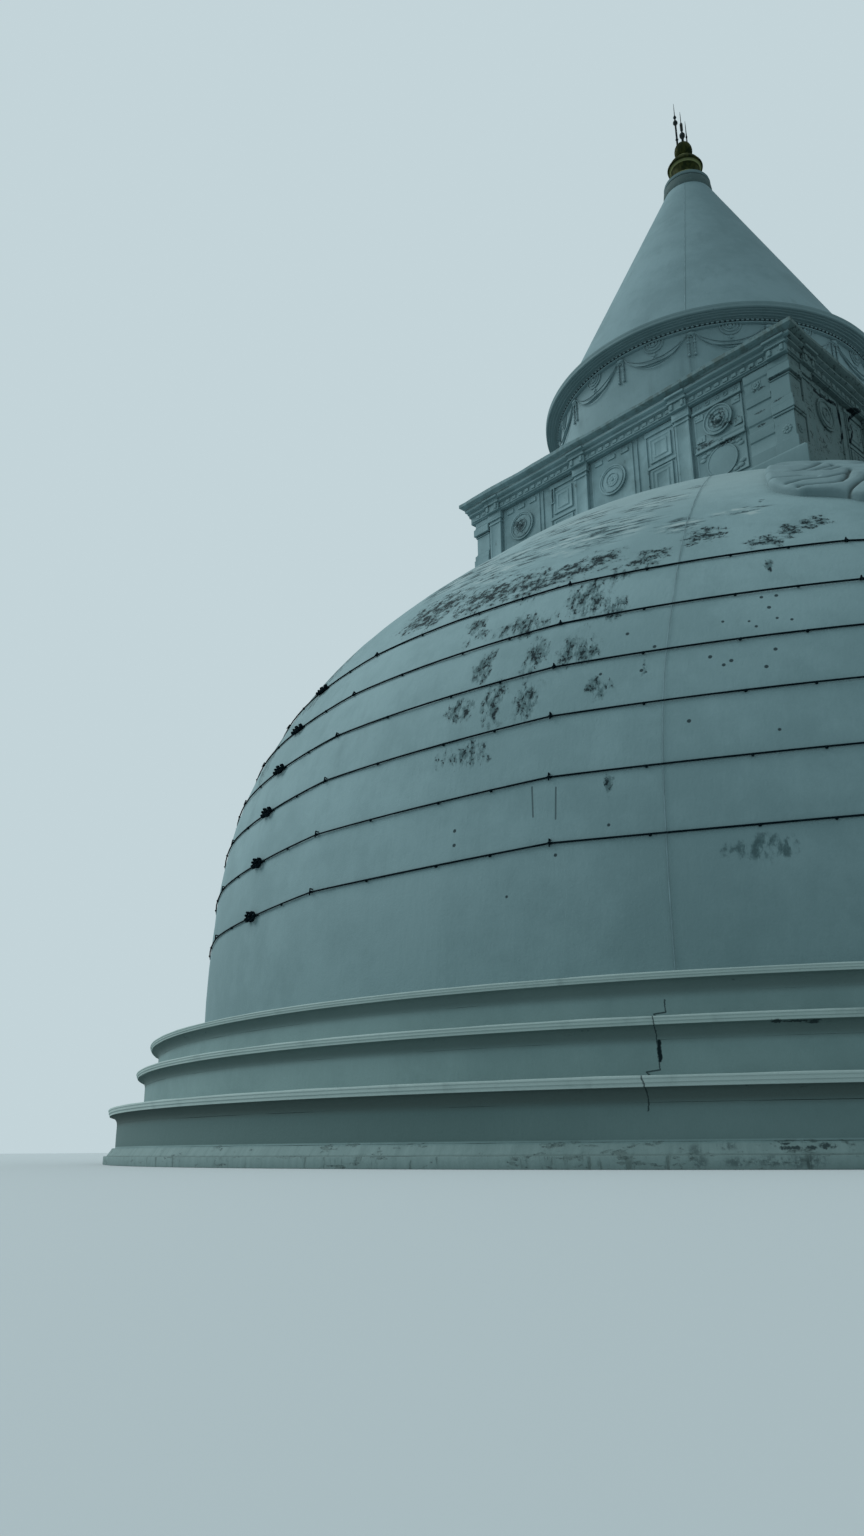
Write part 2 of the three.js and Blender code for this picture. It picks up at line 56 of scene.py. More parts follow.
aim = Euler((math.pi / 2 + CAMERA_PITCH, 0, CAMERA_HEADING - math.pi / 2)).to_matrix()
turn = aim @ Matrix.Rotation(CAMERA_ROLL, 3, "Z")
bpy.ops.object.camera_add(location=CAMERA_PLACE * HALF, rotation=turn.to_euler())
camera = bpy.context.object
camera.data.sensor_width = SENSOR
camera.data.lens = FOCAL_PIXELS / FRAME_HEIGHT * SENSOR
camera.data.clip_end = FAR_LIMIT
bpy.context.scene.camera = camera

# A plain pale floor, a soft key light from high on the left, and an even pale sky that fills the rest.
FLOOR_SIZE = 900
FLOOR_COLOUR = (0.40, 0.45, 0.46, 1)
FLOOR_ROUGHNESS = 0.9
KEY_PLACE = (0, 0, 60)
KEY_FROM = (-0.88, -0.50, 0.80)
KEY_STRENGTH = 2.2
KEY_SPREAD = math.radians(40)
KEY_COLOUR = (0.97, 0.99, 1.0)
SKY_COLOUR = (0.74, 0.89, 0.94, 1)
SKY_STRENGTH = 0.74

bpy.ops.mesh.primitive_plane_add(size=FLOOR_SIZE)
floor = bpy.context.object
floor.name = "floor"
floor_paint = bpy.data.materials.new("pale_floor")
floor_paint.use_nodes = True
floor_inputs = floor_paint.node_tree.nodes["Principled BSDF"].inputs
floor_inputs["Base Color"].default_value = FLOOR_COLOUR
floor_inputs["Roughness"].default_value = FLOOR_ROUGHNESS
floor.data.materials.append(floor_paint)

key_turn = Vector(KEY_FROM).to_track_quat("Z", "Y").to_euler()
bpy.ops.object.light_add(type="SUN", location=KEY_PLACE, rotation=key_turn)
key = bpy.context.object
key.data.energy = KEY_STRENGTH
key.data.angle = KEY_SPREAD
key.data.color = KEY_COLOUR

sky = bpy.data.worlds.new("sky")
sky.use_nodes = True
sky_inputs = sky.node_tree.nodes["Background"].inputs
sky_inputs["Color"].default_value = SKY_COLOUR
sky_inputs["Strength"].default_value = SKY_STRENGTH
bpy.context.scene.world = sky
bpy.context.scene.view_settings.view_transform = "Standard"


# Base: a footing step, a sloping plinth and three stepped terraces, all round. Each terrace is a wall of
# plastered brick under a cornice, which is a hollow cove below a fascia with one fine step in it. All of
# it is painted with lime wash year after year, greyed by rain and blackened by mildew where it flakes off,
# and its walls and coves are painted darker as the shade that falls under the cornices.
GROUND_RADIUS = 26.25
FOOTING_TOP = 0.26
PLINTH_TOP = 0.51
PLINTH_STEP = 0.1
COVE_HEIGHT = 0.29
COVE_REACH = 0.32
COVE_STEPS = 7
# Each terrace's outer radius, foot and top, and the height of its fascia.
TERRACES = {
    "lower": (26.2, 0.51, 1.76, 0.215),
    "middle": (25.35, 1.76, 3.0, 0.17),
    "upper": (24.95, 3.0, 3.965, 0.145),
}
# A fascia's fine steps: how far each point is set back, and its share of the fascia's height.
FASCIA_STEPS = [(0.05, 0), (0.05, 0.32), (0.02, 0.38), (0.02, 0.70), (0, 0.76), (0, 1)]
WALL_ROWS = 5
ROUND_SIDES = 288
# One crack runs down the terraces, as azimuth and height, and a stretch of it has opened wide.
TERRACE_CRACK = [
    (-64.9, 3.4), (-64.9, 3.14), (-65.5, 3.11), (-65.25, 3.0), (-65.2, 1.93), (-65.85, 1.89), (-65.5, 1.76),
    (-65.45, 1.1),
]
WIDE_CRACK = [(-65.12, 2.5), (-65.2, 2.12)]
CRACK_WANDER = 0.22
# Black dashes on the middle fascia and the plinth: azimuth, height and half sizes in metres.
BASE_DASHES = [
    (-59.7, 2.81, 0.13, 0.03), (-58.6, 2.80, 0.38, 0.02), (-58.15, 2.77, 0.15, 0.03),
    (-59.6, 0.38, 0.16, 0.04), (-58.8, 0.38, 0.11, 0.035), (-58.25, 0.42, 0.15, 0.055),
    (-59.85, 0.46, 0.08, 0.02),
]
# Grey smudges that run down the plinth and the footing, in the same numbers.
BASE_SMUDGES = [
    (-60.3, 0.15, 0.35, 0.10), (-59.4, 0.14, 0.14, 0.12), (-58.8, 0.14, 0.22, 0.12),
    (-62.2, 0.42, 0.2, 0.07), (-63.3, 0.14, 0.15, 0.12), (-61.8, 0.13, 0.25, 0.08),
    (-63.5, 0.35, 0.12, 0.1),
]


class Signal:
    """A value or a colour on its way through a material's nodes, with the usual operators."""

    def __init__(self, finish, socket):
        self.finish, self.socket = finish, socket

    def __add__(self, other):
        return self.finish.maths("ADD", self, other)

    def __sub__(self, other):
        return self.finish.maths("SUBTRACT", self, other)

    def __rsub__(self, other):
        return self.finish.maths("SUBTRACT", other, self)

    def __mul__(self, other):
        return self.finish.maths("MULTIPLY", self, other)

    __radd__, __rmul__ = __add__, __mul__


def highest(first, *others):
    """The greatest of several signals, place by place."""
    for other in others:
        first = first.finish.maths("MAXIMUM", first, other)
    return first


def lowest(first, *others):
    for other in others:
        first = first.finish.maths("MINIMUM", first, other)
    return first


class Finish:
    """A material in the making: its shader, the building's coordinates, and one way to add any node."""

    def __init__(self, name, roughness=0.85, metallic=0.0, specular=0.12):
        self.material = bpy.data.materials.new(name)
        self.material.use_nodes = True
        self.tree = self.material.node_tree
        self.shader = self.tree.nodes["Principled BSDF"]
        self.shader.inputs["Roughness"].default_value = roughness
        self.shader.inputs["Metallic"].default_value = metallic
        self.shader.inputs["Specular IOR Level"].default_value = specular
        place = self.node("ShaderNodeTexCoord", output="Object")
        self.place = self.vector("MULTIPLY", place, (1 / HALF,) * 3)

    def node(self, kind, settings=None, inputs=None, output=0):
        made = self.tree.nodes.new(kind)
        for setting, value in (settings or {}).items():
            setattr(made, setting, value)
        for socket, value in (inputs or {}).items():
            self.feed(made.inputs[socket], value)
        return Signal(self, made.outputs[output])

    def feed(self, socket, value):
        if isinstance(value, Signal):
            self.tree.links.new(value.socket, socket)
        else:
            socket.default_value = value

    def maths(self, operation, *values):
        return self.node("ShaderNodeMath", {"operation": operation}, dict(enumerate(values)))

    def vector(self, operation, first, second=(0, 0, 0), output="Vector"):
        return self.node("ShaderNodeVectorMath", {"operation": operation}, {0: first, 1: second}, output)

    def axis(self, name):
        return self.node("ShaderNodeSeparateXYZ", inputs={0: self.place}, output=name)

    def azimuth(self):
        """The way round the stupa's axis, in degrees."""
        return self.maths("ARCTAN2", self.axis("Y"), self.axis("X")) * (180 / math.pi)

    def noise(self, scale, stretch=(1, 1, 1), detail=4.0, roughness=0.55, where=None):
        where = self.vector("MULTIPLY", where or self.place, stretch)
        inputs = {"Vector": where, "Scale": scale, "Detail": detail, "Roughness": roughness}
        return self.node("ShaderNodeTexNoise", inputs=inputs)

    def ease(self, value, low, high):
        """0 below low, 1 above high, and a smooth rise between, or the reverse where low is over high."""
        ends = {0: value, 1: low, 2: high, 3: 0.0, 4: 1.0}
        if low > high:
            ends.update({1: high, 2: low, 3: 1.0, 4: 0.0})
        return self.node("ShaderNodeMapRange", {"interpolation_type": "SMOOTHSTEP"}, ends)

    def band(self, value, rise, fall):
        """1 between a rise and a fall, each given as the places where it begins and ends, and 0 outside."""
        return self.ease(value, *rise) * self.ease(value, fall[1], fall[0])

    def blend(self, factor, first, second):
        settings = {"data_type": "RGBA", "clamp_factor": True}
        return self.node("ShaderNodeMix", settings, {0: factor, 6: first, 7: second}, output=2)

    def flat(self, across, up):
        """A place on a surface that is laid out flat: across and up, in metres."""
        return self.node("ShaderNodeCombineXYZ", inputs={0: across, 1: up})

    def nearest(self, flat, spots):
        """How far each place is from the nearest spot, counted in the half sizes that end its numbers."""
        distances = []
        for across, up, half_width, half_height in spots:
            offset = self.vector("SUBTRACT", flat, (across, up, 0))
            offset = self.vector("MULTIPLY", offset, (1 / half_width, 1 / half_height, 0))
            distances.append(self.vector("LENGTH", offset, output="Value"))
        return lowest(*distances)

    def fissure(self, flat, *cracks):
        """How far each place is from the nearest of some cracks, each of which runs from point to point."""
        distances = []
        for start, end in (leg for points in cracks for leg in zip(points, points[1:])):
            run = Vector((end[0] - start[0], end[1] - start[1], 0))
            offset = self.vector("SUBTRACT", flat, (start[0], start[1], 0))
            along = self.vector("DOT_PRODUCT", offset, run / run.length_squared, "Value")
            along = self.node("ShaderNodeClamp", inputs={0: along, 1: 0.0, 2: 1.0})
            foot = self.node("ShaderNodeVectorMath", {"operation": "SCALE"}, {0: tuple(run), "Scale": along})
            distances.append(self.vector("DISTANCE", offset, foot, "Value"))
        return lowest(*distances)

    def paint(self, colour, roughness=None, relief=None, depth=0.02):
        """Feeds the shader; relief is a height from 0 to 1, and depth is its size in metres."""
        self.feed(self.shader.inputs["Base Color"], colour)
        if roughness is not None:
            self.feed(self.shader.inputs["Roughness"], roughness)
        if relief is not None:
            bump = {"Height": relief, "Distance": depth, "Strength": 1.0}
            self.feed(self.shader.inputs["Normal"], self.node("ShaderNodeBump", inputs=bump))


# Wash colours. The bright wash also stands for painted light, and the rain grey, the plaster colour and the
# mildew also stand for painted shade and shadow.
BRIGHT_WASH_AND_LIGHT = (0.35, 0.46, 0.475)
FRESH_WASH = (0.205, 0.325, 0.355)
OLD_WASH = (0.165, 0.27, 0.295)
RAIN_GREY_AND_SHADE = (0.068, 0.124, 0.132)
BARE_PLASTER_AND_SHADE = (0.066, 0.096, 0.09)
MILDEW_AND_SHADOW = (0.003, 0.011, 0.014)


def lime_wash(name, wear, streaks, dirt, tone, bare_and_shade_colour=BARE_PLASTER_AND_SHADE):
    """A whitewash finish. wear(finish) gives its bright, grey, bared and black places, each from 0 to 1;
    these also carry painted light and shade.
    """
    bright_wash_and_light, fresh_wash, old_wash, rain_grey_and_shade = (
        (*(part * share for part, share in zip(wash, tone)), 1)
        for wash in (BRIGHT_WASH_AND_LIGHT, FRESH_WASH, OLD_WASH, RAIN_GREY_AND_SHADE)
    )
    finish = Finish(name)
    clouds = finish.noise(0.16, detail=5.0, roughness=0.6)
    patches = finish.noise(0.9, detail=6.0, roughness=0.65)
    rain = finish.noise(1.1, stretch=(1, 1, 0.06), detail=6.0, roughness=0.62)
    grain = finish.noise(14.0, detail=4.0, roughness=0.7)
    brush = finish.noise(7.0, stretch=(1, 1, 0.25), detail=3.0)
    wash = finish.blend(finish.ease(clouds * 0.6 + patches * 0.4, 0.38, 0.62), old_wash, fresh_wash)
    run = finish.ease(rain, 0.52, 0.8) * finish.ease(clouds, 0.35, 0.62) * streaks
    soil = finish.ease(patches, 0.55, 0.8) * dirt
    height = grain * 0.35 + brush * 0.35 + patches * 0.3
    if wear is None:
        colour = finish.blend(highest(run, soil), wash, rain_grey_and_shade)
    else:
        bright, grey, bare_and_shade, black = wear(finish)
        colour = finish.blend(bright, wash, bright_wash_and_light)
        colour = finish.blend(highest(run, soil, grey), colour, rain_grey_and_shade)
        colour = finish.blend(bare_and_shade, colour, (*bare_and_shade_colour, 1))
        colour = finish.blend(black, colour, (*MILDEW_AND_SHADOW, 1))
        height = height - highest(bare_and_shade, black) * 0.5
    finish.paint(colour, relief=height, depth=0.012)
    return finish.material


def only(piece):
    bpy.ops.object.select_all(action="DESELECT")
    piece.select_set(True)
    bpy.context.view_layer.objects.active = piece
    return piece


def drawn(outline):
    """A chain of edges through (across, height) points, in the upright plane that holds the X axis."""
    bpy.ops.object.select_all(action="DESELECT")
    bpy.ops.mesh.primitive_plane_add(location=(0, 0, 0))
    bpy.ops.object.mode_set(mode="EDIT")
    bpy.ops.mesh.select_mode(type="VERT")
    bpy.ops.mesh.merge(type="CENTER")
    bpy.ops.transform.translate(value=(outline[0][0], 0, outline[0][1]))
    for (across, height), (next_across, next_height) in zip(outline, outline[1:]):
        step = (next_across - across, 0, next_height - height)
        bpy.ops.mesh.extrude_vertices_move(TRANSFORM_OT_translate={"value": step})
    bpy.ops.mesh.select_all(action="SELECT")


def turned(outline, sides):
    """Spins an outline of (radius, height) points once round the axis into a closed round piece."""
    drawn(outline)
    bpy.ops.mesh.spin(steps=sides, angle=math.tau, center=(0, 0, 0), axis=(0, 0, 1))
    bpy.ops.mesh.remove_doubles(threshold=0.0002)
    bpy.ops.mesh.normals_make_consistent(inside=False)
    bpy.ops.object.mode_set(mode="OBJECT")
    return bpy.context.object


def course(side, sides=ROUND_SIDES):
    """A round course: its side from bottom to top, closed by flat ends."""
    return turned([(0, side[0][1]), *side, (0, side[-1][1])], sides)


def straight(foot, head, rows):
    """A straight side from (radius, height) at its foot to the same at its head, cut into rows."""
    (radius, level), (last_radius, last_level) = foot, head
    parts = [row / rows for row in range(rows + 1)]
    return [(radius + (last_radius - radius) * part, level + (last_level - level) * part) for part in parts]


def modified(piece, kind, **settings):
    """Adds a modifier with its settings and applies it."""
    bpy.context.view_layer.objects.active = piece
    modifier = piece.modifiers.new(kind.lower(), kind)
    for setting, value in settings.items():
        setattr(modifier, setting, value)
    bpy.ops.object.modifier_apply(modifier=modifier.name)
    return piece


def softened(piece, width=0.02, segments=2):
    return modified(piece, "BEVEL", width=width, segments=segments, limit_method="ANGLE", angle_limit=0.45)


hand_laid = bpy.data.textures.new("hand_laid_plaster", type="CLOUDS")
hand_laid.noise_scale = 1.6
hand_laid.noise_depth = 3


def uneven(piece, strength):
    """Moves the surface in and out by what a hand-laid coat of plaster varies."""
    return modified(piece, "DISPLACE", texture=hand_laid, strength=strength, mid_level=0.5)


def above_ground(piece):
    for vertex in piece.data.vertices:
        vertex.co[2] = max(vertex.co[2], 0)
    return piece


def settled():
    """Puts the active piece's place, turn and size into its mesh."""
    bpy.ops.object.transform_apply(location=True, rotation=True, scale=True)
    return bpy.context.object


def hand_over(piece, node, kind, material, crease=35):
    """Halves a finished piece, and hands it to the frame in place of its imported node."""
    only(piece)
    piece.name = f"{node}_{kind}"
    piece.data.name = piece.name
    piece.scale = (HALF, HALF, HALF)
    settled()
    bpy.ops.object.shade_smooth_by_angle(angle=math.radians(crease))
    piece.data.materials.clear()
    piece.data.materials.append(material)
    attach(piece, "root")
    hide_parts(node)


def unrolled(marks, degree):
    """Marks that begin with an azimuth, laid out flat by the length of one degree round the wall."""
    return [(azimuth * degree, *rest) for azimuth, *rest in marks]


def worn_base(finish):
    """Bright fascias, coves painted dark as the shade under them, walls painted greyer lower down as shade,
    and a crack down them.
    """
    height = finish.axis("Z")
    degree = math.radians(GROUND_RADIUS)
    across = finish.azimuth() * degree
    laid = finish.flat(across, height)
    drifts = finish.noise(0.35, detail=3.0)
    fine = finish.noise(9.0, detail=4.0, roughness=0.7)
    marks = finish.noise(2.2, (0.8, 2.4, 1), 7.0, 0.7, where=laid)
    strokes = finish.noise(4.5, (1, 0.22, 1), 5.0, 0.65, where=laid)
    specks = finish.ease(marks + fine * 0.25, 0.72, 0.79) * finish.ease(drifts, 0.44, 0.58)
    # Painted shade: the terrace walls are painted grey under their cornices, most on the lowest terrace and
    # toward the left, and the coves dark under the fascias.
    toward_left = finish.ease(finish.azimuth(), -62, -78)
    wall_shade_and_grey = {"lower": 0.70 + toward_left * 0.26, "middle": 0.36, "upper": 0.30}
    cove_shade = {"lower": 0.95, "middle": 0.72, "upper": 0.66}
    bright, grey, bare_and_shade, black = [finish.ease(height, 0.50, 0.46) * 0.25], [], [], []
    for name, (_, foot, top, fascia) in TERRACES.items():
        fascia_foot = top - fascia
        cove_foot = fascia_foot - COVE_HEIGHT
        wall = finish.band(height, (foot + 0.02, foot + 0.06), (fascia_foot - 0.01, fascia_foot))
        bright.append(finish.band(height, (fascia_foot - 0.01, fascia_foot), (top + 0.02, top + 0.03)) * 0.62)
        grey.append(wall * wall_shade_and_grey[name])
        bare_and_shade.append(wall * finish.ease(height, cove_foot - 0.13, cove_foot + 0.10) * cove_shade[name])
        black.append(wall * finish.ease(height, fascia_foot - 0.16, fascia_foot - 0.03) * specks)
    foot = finish.ease(height, 0.56, 0.50)
    grey.append(foot * (strokes * 0.5 + 0.35))
    flaked = finish.ease(marks + drifts * 0.35 + fine * 0.1, 0.80, 0.87) * foot
    stroke = finish.ease(strokes + drifts * 0.35, 0.74, 0.84) * finish.ease(height, 0.34, 0.24)
    seam = finish.band(height, (0.245, 0.262), (0.275, 0.30))
    bare_and_shade += [flaked * 0.5, stroke * 0.6, seam * 0.35]
    dashed = finish.nearest(laid, unrolled(BASE_DASHES, degree))
    smudged = finish.nearest(laid, unrolled(BASE_SMUDGES, degree))
    ragged = finish.ease(strokes * 0.5 + fine * 0.5, 0.44, 0.56)
    black.append(finish.ease(dashed + strokes * 2.0 + fine * 3.0, 3.7, 3.1))
    black.append(finish.ease(smudged, 1.6, 0.3) * ragged * 0.6)
    black.append(finish.ease(fine, 0.50, 0.62) * flaked * 0.6)
    wander = finish.noise(2.2, detail=4.0, roughness=0.7) - 0.5
    wandering_place = finish.flat(across + wander * CRACK_WANDER, height)
    line = finish.fissure(wandering_place, unrolled(TERRACE_CRACK, degree))
    wide = finish.fissure(wandering_place, unrolled(WIDE_CRACK, degree))
    crack = highest(finish.ease(line, 0.022, 0.008) * 0.75, finish.ease(wide, 0.06, 0.03))
    return highest(*bright), highest(*grey), highest(*bare_and_shade), highest(highest(*black) * 0.8, crack)


base_wash = lime_wash("base_lime_wash", worn_base, streaks=0.5, dirt=0.25, tone=(1.08, 1.0, 0.92))
footing = softened(course([(GROUND_RADIUS, 0), (GROUND_RADIUS, FOOTING_TOP)]))
hand_over(above_ground(uneven(footing, 0.02)), "footing_step", "plaster", base_wash)
lower_wall = TERRACES["lower"][0] - COVE_REACH
plinth = course([(GROUND_RADIUS - PLINTH_STEP, FOOTING_TOP), (lower_wall + PLINTH_STEP, PLINTH_TOP)])
hand_over(uneven(plinth, 0.02), "sloping_plinth", "plaster", base_wash)

for terrace, (radius, foot, top, fascia) in TERRACES.items():
    wall = radius - COVE_REACH
    fascia_foot = top - fascia
    cove_foot = fascia_foot - COVE_HEIGHT
    shaft = uneven(course(straight((wall, foot), (wall, cove_foot), WALL_ROWS)), 0.03)
    hand_over(shaft, f"{terrace}_terrace_wall", "plaster", base_wash)
    side = []
    for step in range(COVE_STEPS + 1):
        quarter = step / COVE_STEPS * math.pi / 2
        out = (COVE_REACH - 0.09) * (1 - math.cos(quarter))
        side.append((wall + out, cove_foot + (COVE_HEIGHT - 0.01) * math.sin(quarter)))
    side += [(radius - back, fascia_foot + fascia * share) for back, share in FASCIA_STEPS]
    cornice = uneven(softened(course(side), 0.008), 0.03)
    hand_over(cornice, f"{terrace}_terrace_cornice", "plaster", base_wash)


# Dome: one mass of brick under plaster, bubble-shaped, nearly upright at the foot. Its wash has flaked in
# clumps of black mildew, most of them above the lamp cables on the side that the rain meets.
DOME_SIDE = [
    (23.05, 3.965), (23.0, 7.0), (22.72, 10.2), (22.1, 12.9), (20.95, 15.4), (19.3, 17.8),
    (17.35, 19.8), (15.0, 21.75), (13.6, 22.87), (12.14, 23.88), (10.6, 24.48), (8.5, 24.6),
]
DOME_STEPS = 88


def through(points, steps):
    """Points along a smooth curve that passes through the given ones."""
    curve = []
    for step in range(steps + 1):
        place = step / steps * (len(points) - 1)
        start = min(int(place), len(points) - 2)
        part = place - start
        near = [points[min(max(start + i, 0), len(points) - 1)] for i in (-1, 0, 1, 2)]
        weights = (
            (-part + 2 * part**2 - part**3) / 2,
            (2 - 5 * part**2 + 3 * part**3) / 2,
            (part + 4 * part**2 - 3 * part**3) / 2,
            (-(part**2) + part**3) / 2,
        )
        curve.append(tuple(sum(w * p[axis] for w, p in zip(weights, near)) for axis in (0, 1)))
    return curve


dome_curve = through(DOME_SIDE, DOME_STEPS)

# Flaked clumps: azimuth, height, half width in degrees, half height in metres.
FLAKED_CLUMPS = [
    (-87.8, 17.1, 4.2, 0.8), (-80.1, 16.7, 4.1, 0.7), (-76.0, 16.5, 2.5, 0.7), (-72.7, 16.7, 2.5, 0.45),
    (-69.8, 16.9, 1.8, 0.45), (-75.6, 14.6, 2.5, 0.42), (-80.2, 15.1, 1.1, 0.57), (-73.9, 13.4, 1.0, 0.65),
    (-71.1, 13.2, 1.0, 0.35), (-78.2, 13.3, 0.7, 0.54), (-69.1, 13.1, 0.6, 0.23), (-76.6, 12.0, 0.9, 0.73),
    (-74.1, 11.8, 0.85, 0.71), (-79.4, 12.1, 1.0, 0.38), (-78.8, 10.6, 2.1, 0.37), (-68.7, 11.8, 0.7, 0.31),
    (-70.2, 15.1, 1.5, 0.9), (-68.0, 14.5, 1.0, 0.5), (-67.9, 9.0, 0.5, 0.32), (-65.5, 16.5, 1.6, 0.44),
    (-67.8, 16.0, 1.2, 0.27), (-61.3, 17.1, 1.7, 0.42), (-56.4, 16.35, 1.3, 0.34), (-54.5, 16.7, 1.2, 0.36),
    (-52.4, 17.0, 1.3, 0.3), (-57.0, 15.3, 0.4, 0.28), (-70.5, 13.2, 1.6, 0.5), (-68.6, 11.6, 0.6, 0.2),
    (-65.8, 12.2, 0.3, 0.17), (-56.3, 18.9, 0.3, 0.1), (-59.4, 6.95, 2.0, 0.3),
]
# Peeled courses near the top of the dome: azimuth, height, half width in degrees, half height in metres.
PEELED_COURSES = [
    (-72.0, 18.9, 6.5, 1.1), (-82.0, 18.6, 6.0, 1.2), (-67.0, 20.6, 4.0, 0.9), (-78.0, 20.9, 6.0, 1.2),
    (-63.5, 18.0, 2.0, 0.4), (-58.0, 18.3, 2.5, 0.25), (-62.8, 21.8, 1.6, 0.3), (-90.0, 19.5, 6.0, 1.2),
]
# Spots of mildew, each about a hand wide on the real dome.
MILDEW_SPOTS = [
    (-57.3, 13.6), (-56.7, 14.0), (-57.7, 14.0), (-58.7, 13.2), (-58.3, 13.0), (-56.9, 13.2), (-56.0, 13.1),
    (-60.4, 13.3), (-57.3, 12.2), (-60.6, 11.9), (-60.1, 12.0), (-58.0, 11.7), (-61.4, 12.2), (-65.0, 12.8),
    (-65.9, 12.1), (-68.7, 12.2), (-66.9, 13.4), (-57.7, 9.9), (-63.0, 10.4), (-71.8, 7.3), (-79.2, 8.4),
    (-79.2, 8.0), (-68.3, 7.9), (-75.2, 6.4),
]
SPOT_RADIUS = 0.036
# Two fine upright cracks below the second cable.
DOME_CRACKS = [[(-73.37, 9.22), (-73.3, 8.4)], [(-71.7, 9.1), (-71.75, 8.25)]]
# One degree round the dome, at the height of most of its marks.
DOME_DEGREE = math.radians(22.1)
FLAKED_PLASTER = (0.040, 0.086, 0.095)


def worn_dome(finish):
    """Measured clumps on the side toward the camera, and drifts of the same kind all round the rest."""
    height = finish.axis("Z")
    azimuth = finish.azimuth()
    across = azimuth * DOME_DEGREE
    laid = finish.flat(across, height)
    sway = finish.noise(1.3, detail=3.0) - 0.5
    ripple = finish.noise(1.7, detail=3.0) - 0.5
    swayed = finish.flat(across + sway * 1.3, height + ripple * 0.9)

    def zone_of(marks, outer, inner):
        marks = [(turn, level, wide * DOME_DEGREE, high) for turn, level, wide, high in marks]
        return finish.ease(finish.nearest(swayed, unrolled(marks, DOME_DEGREE)), outer, inner)

    zone = zone_of(FLAKED_CLUMPS, 1.55, 0.35)
    peeled = zone_of(PEELED_COURSES, 1.3, 0.5)
    drifts = finish.noise(0.2, detail=3.0, roughness=0.6)
    belt = finish.band(height, (10.0, 15.5), (17.5, 19.5))
    away = highest(finish.ease(azimuth, -49, -42), finish.ease(azimuth, -96, -108))
    zone = highest(zone, finish.ease(drifts, 0.53, 0.66) * belt * away)
    peeled = highest(peeled, finish.ease(drifts, 0.5, 0.62) * finish.ease(height, 18.0, 19.5) * away)
    upper = finish.ease(height, 15.8, 16.3)
    rows = finish.noise(3.2, (0.72, 1.35, 1), 7.0, 0.68, where=laid)
    strokes = finish.noise(3.3, (1.35, 0.6, 1), 7.0, 0.68, where=laid)
    mottle = rows * upper + strokes * (1 - upper)
    grains = finish.noise(7.5, (1.1, 0.9, 1), 4.0, 0.75, where=laid)
    blots = mottle * 0.55 + grains * 0.45
    mildew = finish.ease(blots + zone * (upper * 0.02 + 0.055), 0.562, 0.612) * finish.ease(zone, 0.02, 0.4)
    mildew = mildew * (0.92 - finish.ease(height, 8.3, 7.5) * 0.66)
    grey = finish.ease(mottle + zone * 0.12, 0.50, 0.66) * zone * 0.75
    courses = finish.noise(1.3, (0.55, 3.4, 1), 6.0, 0.7, where=laid)
    lines = finish.ease(courses + grains * 0.14, 0.585, 0.66) * peeled
    pale = finish.ease(courses, 0.50, 0.40) * peeled
    spots = [(*place, SPOT_RADIUS, SPOT_RADIUS) for place in unrolled(MILDEW_SPOTS, DOME_DEGREE)]
    spotted = finish.ease(finish.nearest(laid, spots) + sway * 2.0, 1.5, 0.8)
    split = finish.fissure(laid, *(unrolled(crack, DOME_DEGREE) for crack in DOME_CRACKS))
    split = finish.ease(split, 0.03, 0.012)
    # A dark line is painted round the dome's foot as the shadow where it springs from the upper cornice.
    foot_shadow = finish.ease(height, 4.12, 4.0)
    # The dome is painted lighter toward its top as painted light, and greyer toward its foot as painted
    # shade.
    return (
        highest(finish.ease(height, 18.0, 22.5) * 0.3, pale * 0.8),
        highest(grey, finish.ease(height, 11.0, 4.5) * 0.30, peeled * 0.12),
        highest(grey * 0.55, lines * 0.6),
        highest(mildew, lines * 0.62, spotted * 0.85, split * 0.6, foot_shadow * 0.8),
    )


dome_wash = lime_wash(
    "dome_lime_wash", worn_dome, streaks=0.3, dirt=0.15, tone=(0.91, 0.87, 0.84), bare_and_shade_colour=FLAKED_PLASTER
)
dome = uneven(course(dome_curve), 0.05)
hand_over(dome, "dome", "plaster", dome_wash)


# Lamp cables: six black cables, each held round the dome by seventeen iron hooks driven into the brick,
# with a lamp holder every few metres and four clusters of lamps bound on the cable in pairs of rings.
CABLE_LEVELS = [7.62, 9.4, 11.16, 12.72, 14.28, 15.93]
CABLE_RADIUS = 0.027
CABLE_OFF = 0.045
SAG = 0.10
HOOKS = 17
HOOK_AZIMUTH = -93.3
HOOK_WIDTH = (-0.018, 0.018)
HOOK_LENGTH = (-0.11, 0.11)
HOOK_FACE = 0.105
LAMP_AZIMUTHS = [-103, -13, 77, 167]
LAMP_RING = 0.145
LAMPS_IN_RING = 7
# Where a cable's single lamps hang, in tenths of the way from one hook to the next.
SINGLE_LAMPS = (3, 6, 8)

dome_lengths = [0.0]
for (radius, height), (next_radius, next_height) in zip(dome_curve, dome_curve[1:]):
    dome_lengths.append(dome_lengths[-1] + math.hypot(next_radius - radius, next_height - height))


def dome_at(length):
    """The dome's side at a distance up its curve: its radius, its height, and its slope as two numbers."""
    step = min(max(bisect.bisect(dome_lengths, length) - 1, 0), DOME_STEPS - 1)
    part = (length - dome_lengths[step]) / (dome_lengths[step + 1] - dome_lengths[step])
    (radius, height), (next_radius, next_height) = dome_curve[step : step + 2]
    slope = Vector((next_radius - radius, next_height - height)).normalized()
    return radius + (next_radius - radius) * part, height + (next_height - height) * part, slope


def length_up_to(level):
    step = next(i for i, (radius, height) in enumerate(dome_curve) if height > level) - 1
    height, next_height = dome_curve[step][1], dome_curve[step + 1][1]
    part = (level - height) / (next_height - height)
    return dome_lengths[step] + part * (dome_lengths[step + 1] - dome_lengths[step])


